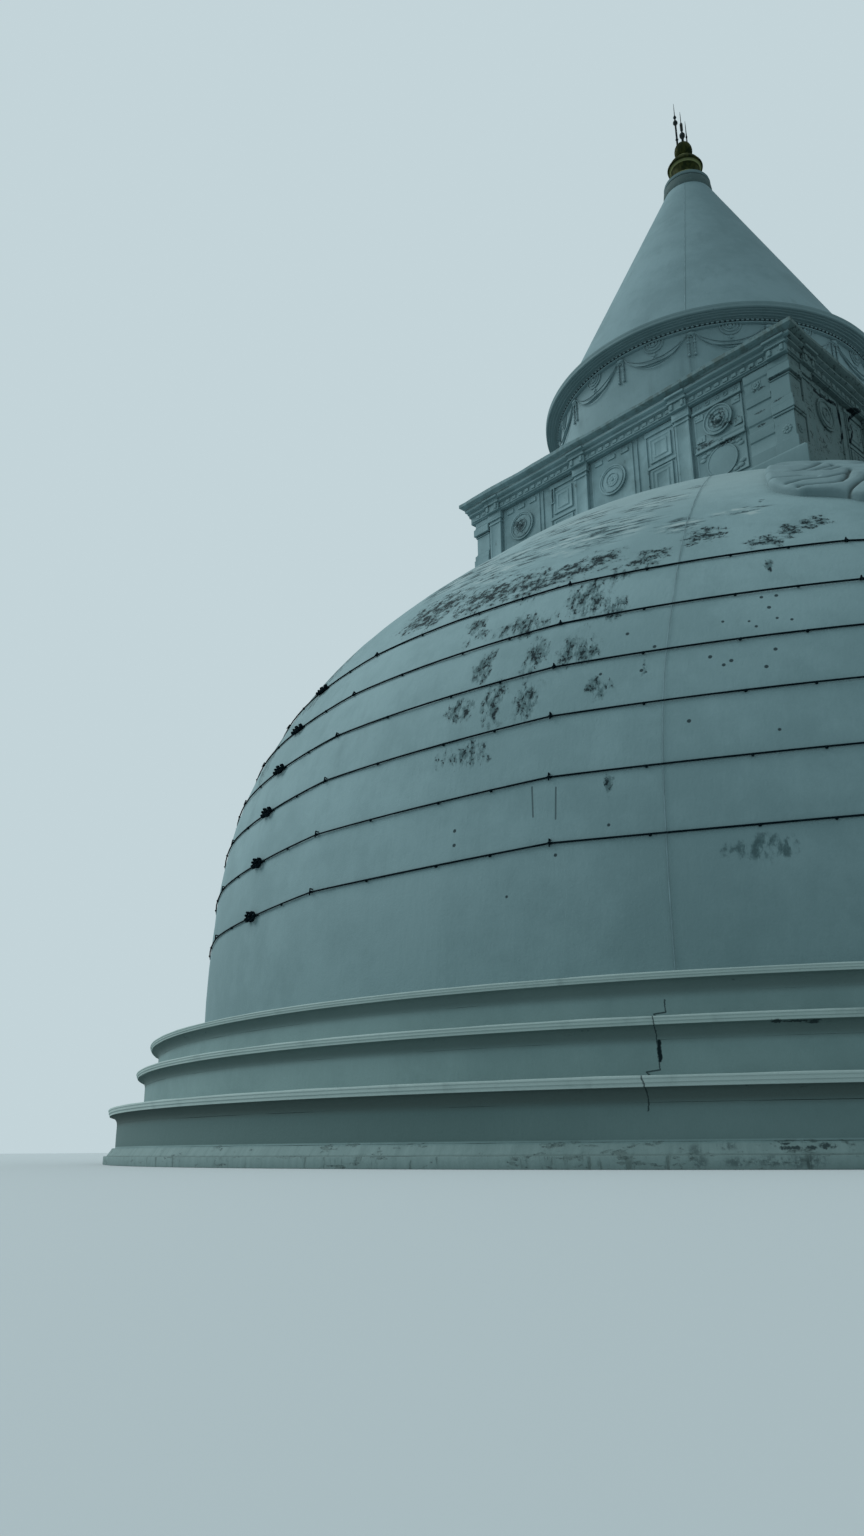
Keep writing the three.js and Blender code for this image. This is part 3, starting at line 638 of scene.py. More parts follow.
def laid_on_dome(piece, azimuth, level):
    """Wraps a piece modelled flat onto the dome: its X runs round, its Y up the side, and its Z out."""
    base = length_up_to(level)
    girth = dome_at(base)[0]
    for vertex in piece.data.vertices:
        across, up, out = vertex.co
        radius, height, slope = dome_at(base + up)
        angle = math.radians(azimuth) + across / girth
        reach = radius + out * slope[1]
        vertex.co = (reach * math.cos(angle), reach * math.sin(angle), height - out * slope[0])
    return piece


def block(x, y, z, worn=0.02):
    """A cut block between its low and high sides, with its edges worn round."""
    size = [high - low for low, high in (x, y, z)]
    centre = [(high + low) / 2 for low, high in (x, y, z)]
    bpy.ops.object.select_all(action="DESELECT")
    bpy.ops.mesh.primitive_cube_add(size=1, location=centre, scale=size)
    piece = settled()
    return softened(piece, worn, 1) if worn else piece


def faces_out():
    """Turns all the faces of the mesh that is being edited outward, and ends the edit."""
    bpy.ops.mesh.select_all(action="SELECT")
    bpy.ops.mesh.normals_make_consistent(inside=False)
    bpy.ops.object.mode_set(mode="OBJECT")
    return bpy.context.object


def swept(path, half_sizes, sides=6, swell=None, closed=True):
    """A bar that follows a path of points: its section is upright across the path's first step."""
    first = Vector(path[1]) - Vector(path[0])
    along = max(range(3), key=lambda axis: abs(first[axis]))
    lie = [(0, math.pi / 2, 0), (math.pi / 2, 0, 0), (0, 0, 0)][along]
    fill = "NGON" if closed else "NOTHING"
    bpy.ops.object.select_all(action="DESELECT")
    bpy.ops.mesh.primitive_circle_add(
        vertices=sides, radius=1, fill_type=fill, location=path[0], rotation=lie
    )
    settled()
    bpy.ops.object.mode_set(mode="EDIT")
    bpy.ops.mesh.select_mode(type="VERT")
    spans = list(half_sizes)
    spans.insert(along, 1)
    swell = swell or [1] * len(path)
    bpy.ops.transform.resize(value=[span * swell[0] for span in spans], center_override=path[0])
    for (start, end), (size, next_size) in zip(zip(path, path[1:]), zip(swell, swell[1:])):
        step = Vector(end) - Vector(start)
        bpy.ops.mesh.extrude_region_move(TRANSFORM_OT_translate={"value": step})
        if next_size != size:
            bpy.ops.transform.resize(value=[next_size / size] * 3, center_override=end)
    return faces_out()


def ball(place, radius, stretch=(1, 1, 1), detail=2):
    bpy.ops.object.select_all(action="DESELECT")
    bpy.ops.mesh.primitive_ico_sphere_add(subdivisions=detail, radius=radius, location=place, scale=stretch)
    return settled()


def hoop(place, radius, thickness, sides, lie=(0, 0, 0)):
    bpy.ops.object.select_all(action="DESELECT")
    bpy.ops.mesh.primitive_torus_add(
        location=place, rotation=lie, major_radius=radius, minor_radius=thickness,
        major_segments=sides, minor_segments=6,
    )
    return settled()


def joined(pieces):
    bpy.ops.object.select_all(action="DESELECT")
    for piece in pieces:
        piece.select_set(True)
    bpy.context.view_layer.objects.active = pieces[0]
    bpy.ops.object.join()
    return pieces[0]


def row_of(piece, count, spacing, **settings):
    """Repeats a piece in a row along X."""
    return modified(
        piece, "ARRAY", count=count, use_relative_offset=False, use_constant_offset=True,
        constant_offset_displace=(spacing, 0, 0), **settings,
    )


def bow(part):
    """0 at both ends of a span and 1 in its middle."""
    return 4 * part * (1 - part)


def hook():
    """An iron bar over the cable, a spike at its upper end that goes into the brick, and a clip."""
    bar = block(HOOK_WIDTH, HOOK_LENGTH, (0.07, HOOK_FACE), worn=0.01)
    spike = block(HOOK_WIDTH, (HOOK_LENGTH[1] - 0.036, HOOK_LENGTH[1]), (-0.1, HOOK_FACE), worn=0.01)
    clip = block((-0.05, 0.05), (-0.03, 0.03), (0.01, 0.09), worn=0.01)
    return [bar, spike, clip]


def lamp_cluster(across, up):
    """Two rings of small lamps side by side, bound on the cable."""
    parts = []
    for side in (-1, 1):
        centre = Vector((across + side * LAMP_RING * 1.35, up - 0.03 * side, CABLE_OFF + 0.04))
        parts.append(hoop(centre, LAMP_RING, 0.034, 16))
        for lamp in range(LAMPS_IN_RING):
            angle = lamp / LAMPS_IN_RING * math.tau
            rim = Vector((math.cos(angle), math.sin(angle), 0.3)) * LAMP_RING
            parts.append(ball(centre + rim, 0.05, detail=1))
        parts.append(ball(centre, 0.045, detail=1))
    parts.append(swept([(across - 0.34, up, CABLE_OFF), (across + 0.34, up, CABLE_OFF)], (0.05, 0.05)))
    return parts


sheath = Finish("cable_sheath", roughness=0.75, specular=0.02)
sheath_dust = sheath.ease(sheath.noise(3.0, detail=5.0), 0.5, 0.7) * 0.4
sheath_colour = sheath.blend(sheath_dust, (0.001, 0.006, 0.009, 1), (0.008, 0.020, 0.025, 1))
sheath.paint(sheath_colour, relief=sheath.noise(30.0), depth=0.004)

for number, level in enumerate(CABLE_LEVELS, start=1):
    girth = dome_at(length_up_to(level))[0] * math.tau
    bay = girth / HOOKS
    hung = [(tenth / 10 * bay, -SAG * bow(tenth / 10), CABLE_OFF) for tenth in range(11)]
    parts = [swept(hung, (CABLE_RADIUS, CABLE_RADIUS), closed=False), *hook()]
    for tenth in SINGLE_LAMPS:
        parts.append(ball(Vector(hung[tenth]) - Vector((0, 0.02, 0)), 0.05, detail=1))
    cable = row_of(joined(parts), HOOKS, bay, use_merge_vertices=True, merge_threshold=0.002)
    clusters = []
    for azimuth in LAMP_AZIMUTHS:
        across = (azimuth - HOOK_AZIMUTH) % 360 / 360 * girth
        clusters += lamp_cluster(across, -SAG * bow(across % bay / bay))
    cable = laid_on_dome(joined([cable, *clusters]), HOOK_AZIMUTH, level)
    hand_over(cable, f"lamp_cable_{number}", "dressed", sheath.material)


# Lotus reliefs: an open flower of thick lime plaster on the dome under each corner of the box, built up by
# hand over brick. Long petals flow down and outward from the corner, parted by grooves, and its lower edge
# stands off the dome in its own shadow.
LOTUS_LEVEL = 20.6
LOTUS_OUTLINE = [
    (0, -4.1), (0.9, -3.65), (1.3, -3.16), (2.0, -2.74), (2.45, -2.55), (2.83, -1.9), (2.92, -1.1),
    (2.65, 0.45), (2.17, 2.33), (1.7, 3.6), (0.9, 4.1), (0, 4.1),
]
LOTUS_SIDES = 320
LOTUS_RINGS = 72
LOTUS_REACH = 4.1
# How far the flower stands off the dome at its lower and upper tip, and how its edge is rounded and sunk.
LOWER_RAISE, UPPER_RAISE = 0.30, 0.14
ROLLED_EDGE, EDGE_ROUND, SUNK_RIM = 0.06, 0.10, -0.12
PETAL_SWELL, PETAL_HALF = 0.10, 0.55
GROOVE_WIDTH, GROOVE_DEPTH = 0.07, 0.085
# Grooves of the left half: each runs from a petal's tip toward the corner of the box.
GROOVES = [
    [(-1.8, 3.4), (-1.3, 3.1), (-0.9, 2.5)],
    [(-2.45, 1.3), (-2.1, 0.6), (-1.8, 0.4), (-1.45, 0.75), (-0.85, 1.75), (-0.3, 2.85), (0, 3.5)],
    [(-2.9, -0.7), (-1.95, -0.85), (-1.6, -1.2)],
    [(-2.6, -1.95), (-2.15, -1.6), (-1.4, -1.5), (-0.95, -1.15), (-0.5, -0.7), (-0.1, 0.1)],
    [(-2.4, -2.4), (-1.5, -2.43), (-1.2, -2.3), (-0.8, -1.65), (-0.4, -0.6), (0, 0.5)],
    [(-1.3, 0.2), (-0.95, 0.7), (-0.4, 1.5), (-0.1, 1.9), (0, 2.3)],
    [(-0.9, 0.1), (-0.4, 0.8), (0, 1.4)],
    [(-1.2, -3.3), (-0.7, -2.45), (-0.35, -1.95), (0, -1.2)],
    [(0, -4.1), (0, -1.8)],
]


def from_segment(place, start, end):
    run = end - start
    along = min(max((place - start).dot(run) / run.length_squared, 0), 1)
    return (place - start - run * along).length


def lotus_flower():
    """The flower laid flat: rings of vertices out to its rim, each sunk by how near it is to a groove."""
    half = through(LOTUS_OUTLINE, LOTUS_SIDES // 2)
    rim = [Vector(point) for point in half] + [Vector((-across, up)) for across, up in half[-2:0:-1]]
    grooves = [[Vector(point) for point in groove] for groove in GROOVES]
    segments = [pair for groove in grooves for pair in zip(groove, groove[1:])]
    base = length_up_to(LOTUS_LEVEL)
    bpy.ops.object.select_all(action="DESELECT")
    bpy.ops.mesh.primitive_grid_add(x_subdivisions=LOTUS_SIDES, y_subdivisions=LOTUS_RINGS, size=2)
    flower = bpy.context.object
    # Each vertex keeps how near it is to a groove, for the shade painted in the grooves.
    groove_shade = flower.data.attributes.new("groove", "FLOAT", "POINT")
    for vertex in flower.data.vertices:
        turn = round((vertex.co[0] + 1) / 2 * LOTUS_SIDES) % LOTUS_SIDES
        out = (vertex.co[1] + 1) / 2 * (1 + ROLLED_EDGE)
        across, up = rim[turn] * min(out, 1)
        near = min(from_segment(Vector((-abs(across), up)), start, end) for start, end in segments)
        groove = math.exp(-((near / GROOVE_WIDTH) ** 2))
        groove_shade.data[vertex.index].value = groove
        raised = LOWER_RAISE + (UPPER_RAISE - LOWER_RAISE) * (up + LOTUS_REACH) / (2 * LOTUS_REACH)
        swell = min(near / PETAL_HALF, 1) ** 0.6 * PETAL_SWELL
        at_edge = 1 - min((1 - min(out, 1)) / ROLLED_EDGE, 1)
        top = raised + swell - GROOVE_DEPTH * groove - EDGE_ROUND * at_edge**2
        under = max(out - 1, 0) / ROLLED_EDGE
        narrowing = dome_at(base + up)[0] / dome_at(base)[0]
        vertex.co = (across / narrowing, up, top * (1 - under) + SUNK_RIM * under)
    only(flower)
    bpy.ops.object.mode_set(mode="EDIT")
    bpy.ops.mesh.select_mode(type="VERT")
    bpy.ops.mesh.select_all(action="SELECT")
    bpy.ops.mesh.remove_doubles(threshold=0.0005)
    bpy.ops.mesh.select_all(action="DESELECT")
    bpy.ops.mesh.select_non_manifold()
    bpy.ops.mesh.fill()
    return faces_out()


def faced(piece, azimuth):
    """Turns a piece about the stupa's axis."""
    only(piece)
    piece.rotation_euler = (0, 0, math.radians(azimuth))
    return settled()


def copied(piece, azimuth=0):
    """A copy with its own mesh, turned about the stupa's axis."""
    only(piece)
    bpy.ops.object.duplicate(linked=False)
    return faced(bpy.context.object, azimuth)


def worn_relief(finish):
    """Painted shade in the grooves between the petals."""
    groove_shade = finish.node("ShaderNodeAttribute", {"attribute_name": "groove"}, output="Fac")
    return 0.0, groove_shade * 0.6, finish.ease(groove_shade, 0.3, 0.9) * 0.5, finish.ease(groove_shade, 0.6, 1.0) * 0.3


relief_wash = lime_wash("relief_lime_wash", worn_relief, streaks=0.25, dirt=0.25, tone=(0.74, 0.70, 0.68))
lotus = lotus_flower()
for corner in range(4):
    relief = laid_on_dome(copied(lotus), 90 * corner - 45, LOTUS_LEVEL)
    hand_over(relief, f"lotus_relief_{corner + 1}", "plaster", relief_wash, crease=60)
bpy.data.objects.remove(lotus)


# Lightning conductor: a thin metal strip fixed straight on the plaster, down the cone, over the drum and
# down the dome. Its weathered grey line is all that shows of it.
CONDUCTOR_AZIMUTH = -64.6
STRIP = (0.014, 0.008)
# The strip's drift on the dome, as azimuth and height from its foot to the box's plinth.
DOME_ROUTE = [
    (-64.87, 3.97), (-64.85, 6.9), (-64.72, 9.6), (-64.4, 11.8), (-63.8, 14.1), (-63.2, 16.5), (-62.85, 17.9),
    (-62.5, 18.9), (-62.15, 20.1), (-61.75, 21.6), (-61.2, 22.6), (-60.7, 23.4), (-60.3, 23.9),
]
CONE_FOOT_RADIUS, CONE_FOOT = 7.77, 34.85
CONE_TOP_RADIUS, CONE_TOP = 1.27, 48.8
DRUM_RADIUS = 7.45
DRUM_STRIP_FOOT, DRUM_STRIP_HEAD = 30.85, 32.88
ROUTE_STEPS = 48

strip_metal = Finish("conductor_strip", roughness=0.7)
strip_grime = strip_metal.ease(strip_metal.noise(2.0, detail=5.0), 0.4, 0.65)
strip_metal.paint(strip_metal.blend(strip_grime, (0.125, 0.195, 0.21, 1), (0.165, 0.255, 0.275, 1)))

route_level = DOME_ROUTE[0][1]
route_foot = length_up_to(route_level)
route = []
for azimuth, level in through(DOME_ROUTE, ROUTE_STEPS):
    drift = math.radians(azimuth - CONDUCTOR_AZIMUTH) * dome_at(route_foot)[0]
    route.append((drift, length_up_to(level) - route_foot, 0.03))
strip = laid_on_dome(swept(route, STRIP), CONDUCTOR_AZIMUTH, route_level)
hand_over(strip, "dome_conductor", "strip", strip_metal.material)
strip_lines = {
    "drum": [(DRUM_RADIUS + 0.015, 0, DRUM_STRIP_FOOT), (DRUM_RADIUS + 0.015, 0, DRUM_STRIP_HEAD)],
    "cone": [(CONE_FOOT_RADIUS + 0.012, 0, CONE_FOOT + 0.01), (CONE_TOP_RADIUS + 0.012, 0, CONE_TOP - 0.01)],
}
for carrier, line in strip_lines.items():
    strip = faced(swept(line, STRIP[::-1]), CONDUCTOR_AZIMUTH)
    hand_over(strip, f"{carrier}_conductor", "strip", strip_metal.material)


# Box plinth and core: a square base of brick let into the top of the dome, plastered over, with a solid
# core of brick above it, which the four walls and the corner piers stand against.
PLINTH_HALF = 9.0
PLINTH_FOOT, BOX_FOOT, BOX_HEAD = 23.2, 24.7, 29.15
CORE_HALF = 7.499
# The heights where the frieze, painted dark as the shade and soot under the cornice, the pale fillet and
# the head of the cornice, dark with soot, begin and end.
FRIEZE_BAND = (29.12, 29.25), (29.5, 29.62)
FILLET_BAND = (29.84, 29.86), (29.92, 29.94)
HEAD_BAND = (29.90, 29.97), (30.2, 30.4)
# Cracks on the right wall, as places along it and heights.
CRACKS = [
    [
        (-6.10, 28.87), (-5.55, 28.81), (-4.46, 29.03), (-4.22, 28.95), (-4.17, 28.55), (-4.01, 27.92),
        (-4.34, 27.25),
    ],
    [(-3.42, 29.22), (-2.68, 29.45), (-3.45, 28.77), (-3.15, 28.34), (-3.54, 27.55)],
]
# Black patches on the front wall, as across, height and half sizes.
BLACK_PATCHES = [
    (5.1, 28.05, 0.5, 0.5), (5.6, 27.6, 0.5, 0.25), (4.4, 27.1, 0.55, 0.2), (5.4, 26.75, 0.7, 0.12),
    (-5.6, 27.9, 0.5, 0.4), (7.1, 28.3, 0.5, 0.07), (7.8, 27.35, 0.3, 0.08), (6.95, 27.25, 0.3, 0.07),
    (7.0, 26.7, 0.35, 0.07), (7.7, 28.4, 0.4, 0.05),
]


def square_course(side):
    """A square course: its side from bottom to top as (half width, height), closed by flat ends."""
    return faced(course([(half * math.sqrt(2), height) for half, height in side], sides=4), 45)


def worn_box(finish):
    """Grey drifts, a frieze painted dark as shade and soot with a fine pale line over it, a front wall
    painted greyer toward its right, and a right wall painted dark as its shade, with dirt and cracks.
    """
    across, into, height = (finish.axis(name) for name in "XYZ")
    # The right wall is painted darker, partly as its shade and partly as dirt.
    right = finish.ease(across, 7.4, 7.6) * finish.ease(across + into, -0.02, 0.06)
    drifts = finish.noise(0.5, detail=4.0)
    flakes = finish.noise(2.6, stretch=(1, 1, 0.6), detail=8.0, roughness=0.7)
    fine = finish.noise(10.0, detail=4.0, roughness=0.7)
    # The frieze is painted dark as the shade and soot under the cornice; it and the cornice head darken
    # toward the right.
    darker_to_right = 0.35 + finish.ease(across, -6.0, 6.5) * 0.65
    head = finish.band(height, *HEAD_BAND) * darker_to_right
    frieze = finish.band(height, *FRIEZE_BAND) * darker_to_right
    patches = finish.ease(finish.nearest(finish.flat(across, height), BLACK_PATCHES), 1.5, 0.3)
    patches = patches * finish.ease(into, -8.0, -8.1)
    stained = finish.ease(fine * 0.5 + flakes * 0.5 + right * 0.035 + patches * 0.12, 0.57, 0.64)
    stained = stained * highest(frieze * 0.9, patches, right, finish.ease(drifts, 0.56, 0.7))
    wandering_place = finish.flat(into + fine * 0.12, height + flakes * 0.3)
    split = finish.ease(finish.fissure(wandering_place, *CRACKS), 0.09, 0.045) * right
    grey_drifts = finish.ease(drifts + flakes * 0.35, 0.58, 0.85)
    # The front wall is painted greyer toward its right, as shade and soot.
    return (
        finish.band(height, *FILLET_BAND) * 0.5,
        highest(grey_drifts * 0.45, head * 0.75, frieze * 0.5, finish.ease(across, 1.5, 7.0) * 0.62),
        highest(
            right * (flakes * 0.5 + 0.36),
            finish.ease(flakes + frieze * 0.04, 0.66, 0.72) * 0.6,
            head * finish.ease(flakes, 0.44, 0.6) * 0.75,
        ),
        highest(stained * 0.8, split),
    )


box_wash = lime_wash("box_lime_wash", worn_box, streaks=0.5, dirt=0.3, tone=(0.98, 0.94, 0.92))
box_plinth = softened(square_course([(PLINTH_HALF, PLINTH_FOOT), (PLINTH_HALF, BOX_FOOT - 0.16)]), 0.03)
top_slab = square_course([(PLINTH_HALF - 0.06, BOX_FOOT - 0.15), (PLINTH_HALF - 0.16, BOX_FOOT)])
hand_over(joined([box_plinth, softened(top_slab)]), "harmika_plinth", "plaster", box_wash)
core = square_course([(CORE_HALF, level) for level in (BOX_FOOT, 26.2, 27.7, BOX_HEAD)])
hand_over(uneven(core, 0.01), "harmika_core", "brick", box_wash)


# Walls of the box: brick carved and plastered in relief, four alike. Three pilasters part each wall into
# bays with a round flower over a plain roundel, bays with nested frames, and a stack of mouldings.
WALL_BACK, WALL_FACE = 7.5, 8.2
PANEL_BACK = 8.05
PILASTER_CENTRES = [-7.08, -1.85, 3.5]
LARGE_DISCS = [(-5.5, 27.85), (-0.2, 27.74)]
FLOWER_CENTRE = 5.12
FRAME_CENTRES = [-3.0, 2.32]
BAY_HALF = 1.12
BAY_FOOT, BAY_HEAD = 25.25, 29.1
JEWEL_LEVEL, JEWEL_PITCH = 28.96, 0.42
ROUNDEL_LEVEL, ROUNDEL_RADIUS = 27.95, 0.66
LOWER_LEVEL, LOWER_RADIUS = 26.05, 0.70
CORNER_STAIRS = (0.30, 0.19, 0.09)
FRAME_HALF = 0.54
FRAME_LEVELS = [(25.6, 27.2), (27.53, 28.7)]
# A narrow upright slot beside the first frames.
SLOT_CENTRE = -3.55
OUTWARD = Vector((0, -1, 0))
# Steps carved in a face, each as a width inward and a way forward or back.
SUNK_FACE = [(0.1, 0), (0.015, -0.02)]
RAISED_FACE = [(0.08, 0), (0.02, 0.02)]
NESTED_FRAMES = [(0.08, 0), (0.015, -0.025), (0.10, 0), (0.015, 0.03), (0.07, 0), (0.015, -0.025)]
FLOWER_RINGS = [
    (0.05, 0), (0.02, -0.04), (0.07, 0), (0.02, 0.035), (0.06, 0), (0.02, -0.04), (0.07, 0), (0.03, 0.035),
    (0.05, 0), (0.03, -0.05), (0.06, 0), (0.03, 0.06), (0.05, 0.03),
]
# The stack of mouldings beside the pier, with the flower set in it: its side is given as height and face.
STACK_START = 6.42
STACK_FLOWER = 6.92
STACK_SIDE = [
    (24.7, 8.35), (25.50, 8.35), (25.56, 8.315), (26.05, 8.29), (26.10, 8.33), (26.30, 8.35),
    (26.50, 8.34), (26.55, 8.285), (26.80, 8.285), (26.86, 8.33), (27.10, 8.355), (27.30, 8.34),
    (27.34, 8.29), (27.67, 8.28), (27.70, 8.33), (27.93, 8.35), (27.97, 8.295), (28.25, 8.285),
    (28.30, 8.305), (28.72, 8.305), (28.78, 8.35), (29.00, 8.37), (29.12, 8.37),
]


def stepped(piece, steps):
    """Carves the faces that look outward into frames: each step goes in by a width and forward or back."""
    only(piece)
    bpy.ops.object.mode_set(mode="EDIT")
    bpy.ops.mesh.select_mode(type="FACE")
    bpy.ops.mesh.select_all(action="DESELECT")
    bpy.ops.object.mode_set(mode="OBJECT")
    for face in piece.data.polygons:
        face.select = face.normal.dot(OUTWARD) > 0.99
    bpy.ops.object.mode_set(mode="EDIT")
    for width, forward in steps:
        bpy.ops.mesh.inset(thickness=width, depth=forward)
    bpy.ops.object.mode_set(mode="OBJECT")
    return piece


def about(centre, half):
    """The two sides of a piece that is centred on a line of the wall."""
    return centre - half, centre + half


def panel(across, up, face, steps=()):
    """A raised panel on the front wall, with frames carved in its face."""
    return softened(stepped(block(across, (-face, -PANEL_BACK), up, worn=0), steps), 0.012, 1)


def roundel(across, up, radius, face, steps):
    place = (across, -(face + PANEL_BACK) / 2, up)
    bpy.ops.object.select_all(action="DESELECT")
    bpy.ops.mesh.primitive_cylinder_add(
        vertices=40, radius=radius, depth=face - PANEL_BACK, location=place, rotation=(math.pi / 2, 0, 0)
    )
    return stepped(settled(), steps)


def ring_on_wall(across, up, radius, face):
    return hoop((across, -face, up), radius, 0.022, 32, (math.pi / 2, 0, 0))


def blossom(across, up, radius, face, petals=8):
    """A small flower in relief: a boss with round petals about it."""
    parts = [ball((across, -face, up), radius * 0.36, (1, 0.7, 1))]
    for step in range(petals):
        angle = step / petals * math.tau
        place = (across + radius * 0.66 * math.cos(angle), -face, up + radius * 0.66 * math.sin(angle))
        parts.append(ball(place, radius * 0.34, (1, 0.35, 1)))
    return parts


def drawn_out(outline, low, high):
    """A straight moulding: a closed outline of (reach, height) points, drawn out along the wall."""
    drawn(outline)
    bpy.ops.mesh.edge_face_add()
    bpy.ops.mesh.extrude_region_move(TRANSFORM_OT_translate={"value": (0, high - low, 0)})
    moulding = faced(faces_out(), -90)
    moulding.location = (low, 0, 0)
    return settled()


def pilaster(centre):
    """A shaft with a sunk face, on a foot block and under a neck and a cap block."""
    shaft = panel(about(centre, 0.35), (BOX_FOOT, BOX_HEAD), 8.38, SUNK_FACE)
    cap = panel(about(centre, 0.42), (28.78, BOX_HEAD), 8.44, RAISED_FACE)
    neck = panel(about(centre, 0.38), (28.58, 28.68), 8.41)
    foot = panel(about(centre, 0.42), (BOX_FOOT, 25.15), 8.44)
    return [shaft, cap, neck, foot]


def disc_bay(centre, level):
    """A plain bay with one large worn roundel: a thin ring, a shallow dish and the traces of a flower."""
    parts = [panel(about(centre, BAY_HALF), (BAY_FOOT, BAY_HEAD), 8.24, [(0.06, 0), (0.015, -0.02)])]
    parts.append(roundel(centre, level, 0.70, 8.30, [(0.05, 0), (0.02, -0.025), (0.40, 0.01)]))
    parts += [ring_on_wall(centre, level, radius, 8.295) for radius in (0.56, 0.30)]
    parts += blossom(centre, level, 0.24, 8.27)
    for tablet in (centre - 0.7, centre, centre + 0.7):
        parts.append(panel(about(tablet, 0.2), (28.78, 28.98), 8.27, [(0.05, 0), (0.01, -0.02)]))
    return parts


def flower_bay(centre):
    """A row of jewels, a flower in nested rings between stepped corners, and a plain roundel with leaves."""
    sides = about(centre, BAY_HALF)
    parts = [panel(sides, (28.8, 29.12), 8.27, [(0.04, 0), (0.015, -0.02)])]
    for step in range(-2, 3):
        jewel = centre + step * JEWEL_PITCH
        if step % 2 == 0:
            parts += blossom(jewel, JEWEL_LEVEL, 0.15, 8.26, 6)
        else:
            parts.append(ring_on_wall(jewel, JEWEL_LEVEL, 0.09, 8.27))
    parts.append(panel(about(centre, BAY_HALF + 0.03), (28.66, 28.77), 8.34))
    parts.append(panel(sides, (27.12, 28.64), 8.25, [(0.07, 0), (0.02, -0.025)]))
    parts.append(roundel(centre, ROUNDEL_LEVEL, ROUNDEL_RADIUS, 8.34, FLOWER_RINGS))
    for side, up in itertools.product((-1, 1), repeat=2):
        x = centre + side * (BAY_HALF - 0.09)
        z = ROUNDEL_LEVEL + up * ROUNDEL_RADIUS
        for step, size in enumerate(CORNER_STAIRS):
            stair = sorted((x, x - side * size * 1.25)), sorted((z, z - up * size))
            parts.append(panel(*stair, 8.26 + 0.015 * step))
    parts.append(panel(sides, (26.88, 27.1), 8.30, [(0.04, 0), (0.015, -0.02)]))
    parts += blossom(centre, 26.99, 0.11, 8.29, 6)
    parts.append(panel(about(centre, BAY_HALF + 0.02), (26.8, 26.88), 8.34))
    parts.append(panel(sides, (BAY_FOOT, 26.8), 8.25, [(0.06, 0), (0.02, -0.025)]))
    parts.append(roundel(centre, LOWER_LEVEL, LOWER_RADIUS, 8.28, [(0.05, 0), (0.02, -0.02), (0.42, 0.015)]))
    for corner in range(4):
        for spread, reach in ((-0.22, 1.02), (0, 1.10), (0.22, 1.02)):
            angle = math.radians(45 + 90 * corner) + spread
            leaf = (centre + reach * math.cos(angle), -8.24, LOWER_LEVEL + reach * math.sin(angle) * 0.72)
            parts.append(ball(leaf, 0.13, (1.1, 0.25, 0.7)))
    return parts


def framed_bay(centre):
    """Two nested frames, one over the other, between narrow upright ribs."""
    parts = [panel(about(centre, FRAME_HALF), levels, 8.26, NESTED_FRAMES) for levels in FRAME_LEVELS]
    parts += [panel(about(centre, 0.75), levels, 8.26) for levels in ((28.86, 29.1), (27.26, 27.4))]
    for rib in (-1.2, -0.72, 0.68):
        parts.append(panel((centre + rib, centre + rib + 0.05), (25.0, BAY_HEAD), 8.25))
    return parts


wall_parts = [block((-CORE_HALF, CORE_HALF), (-WALL_FACE, -WALL_BACK), (BOX_FOOT, BOX_HEAD - 0.001), worn=0)]
for centre in PILASTER_CENTRES:
    wall_parts += pilaster(centre)
for centre, level in LARGE_DISCS:
    wall_parts += disc_bay(centre, level)
wall_parts += flower_bay(FLOWER_CENTRE)
for centre in FRAME_CENTRES:
    wall_parts += framed_bay(centre)
stack = [(PANEL_BACK, STACK_SIDE[0][0]), *((face, height) for height, face in STACK_SIDE)]
wall_parts.append(drawn_out([*stack, (PANEL_BACK, STACK_SIDE[-1][0])], STACK_START, CORE_HALF))
wall_parts.append(panel(about(STACK_FLOWER, 0.22), (28.32, 28.70), 8.32, [(0.04, 0), (0.02, -0.02)]))
wall_parts += blossom(STACK_FLOWER, 28.51, 0.17, 8.33)
wall_parts.append(panel(about(SLOT_CENTRE, 0.10), (28.1, 28.9), 8.30, [(0.05, 0), (0.005, -0.2)]))
front_wall = joined(wall_parts)
for quarter, side in enumerate(("front", "right", "back", "left")):
    hand_over(copied(front_wall, 90 * quarter), f"harmika_{side}_wall", "relief", box_wash, crease=30)
bpy.data.objects.remove(front_wall)


# Corner piers: square brick piers of stacked courses, plastered, under a heavy cap block. A joint has opened
# below the cap, and a small flower sits on both outer faces above the foot.
PIER_CENTRE = 8.0
PIER_FLOWER_LEVEL = 25.95
# Foot, head and face of each course.
PIER_COURSES = [
    (24.70, 25.46, 8.46), (25.46, 25.54, 8.41), (25.54, 26.66, 8.35), (26.66, 26.76, 8.40),
    (26.76, 27.10, 8.44), (27.10, 27.34, 8.41), (27.34, 27.42, 8.36), (27.42, 28.30, 8.33),
    (28.30, 28.36, 8.37), (28.36, 28.42, 8.18), (28.42, 28.78, 8.45), (28.78, 28.86, 8.40),
    (28.86, 29.145, 8.38),
]
pier_parts = []
for foot, head, face in PIER_COURSES:
    pier_parts.append(block((WALL_BACK, face), (-face, -WALL_BACK), (foot, head), worn=0.018))
pier_parts += blossom(PIER_CENTRE, PIER_FLOWER_LEVEL, 0.2, 8.36)
pier_parts += [faced(part, 90) for part in blossom(-PIER_CENTRE, PIER_FLOWER_LEVEL, 0.2, 8.36)]
pier = joined(pier_parts)
for quarter in range(4):
    hand_over(copied(pier, 90 * quarter), f"harmika_pier_{quarter + 1}", "plaster", box_wash)
bpy.data.objects.remove(pier)


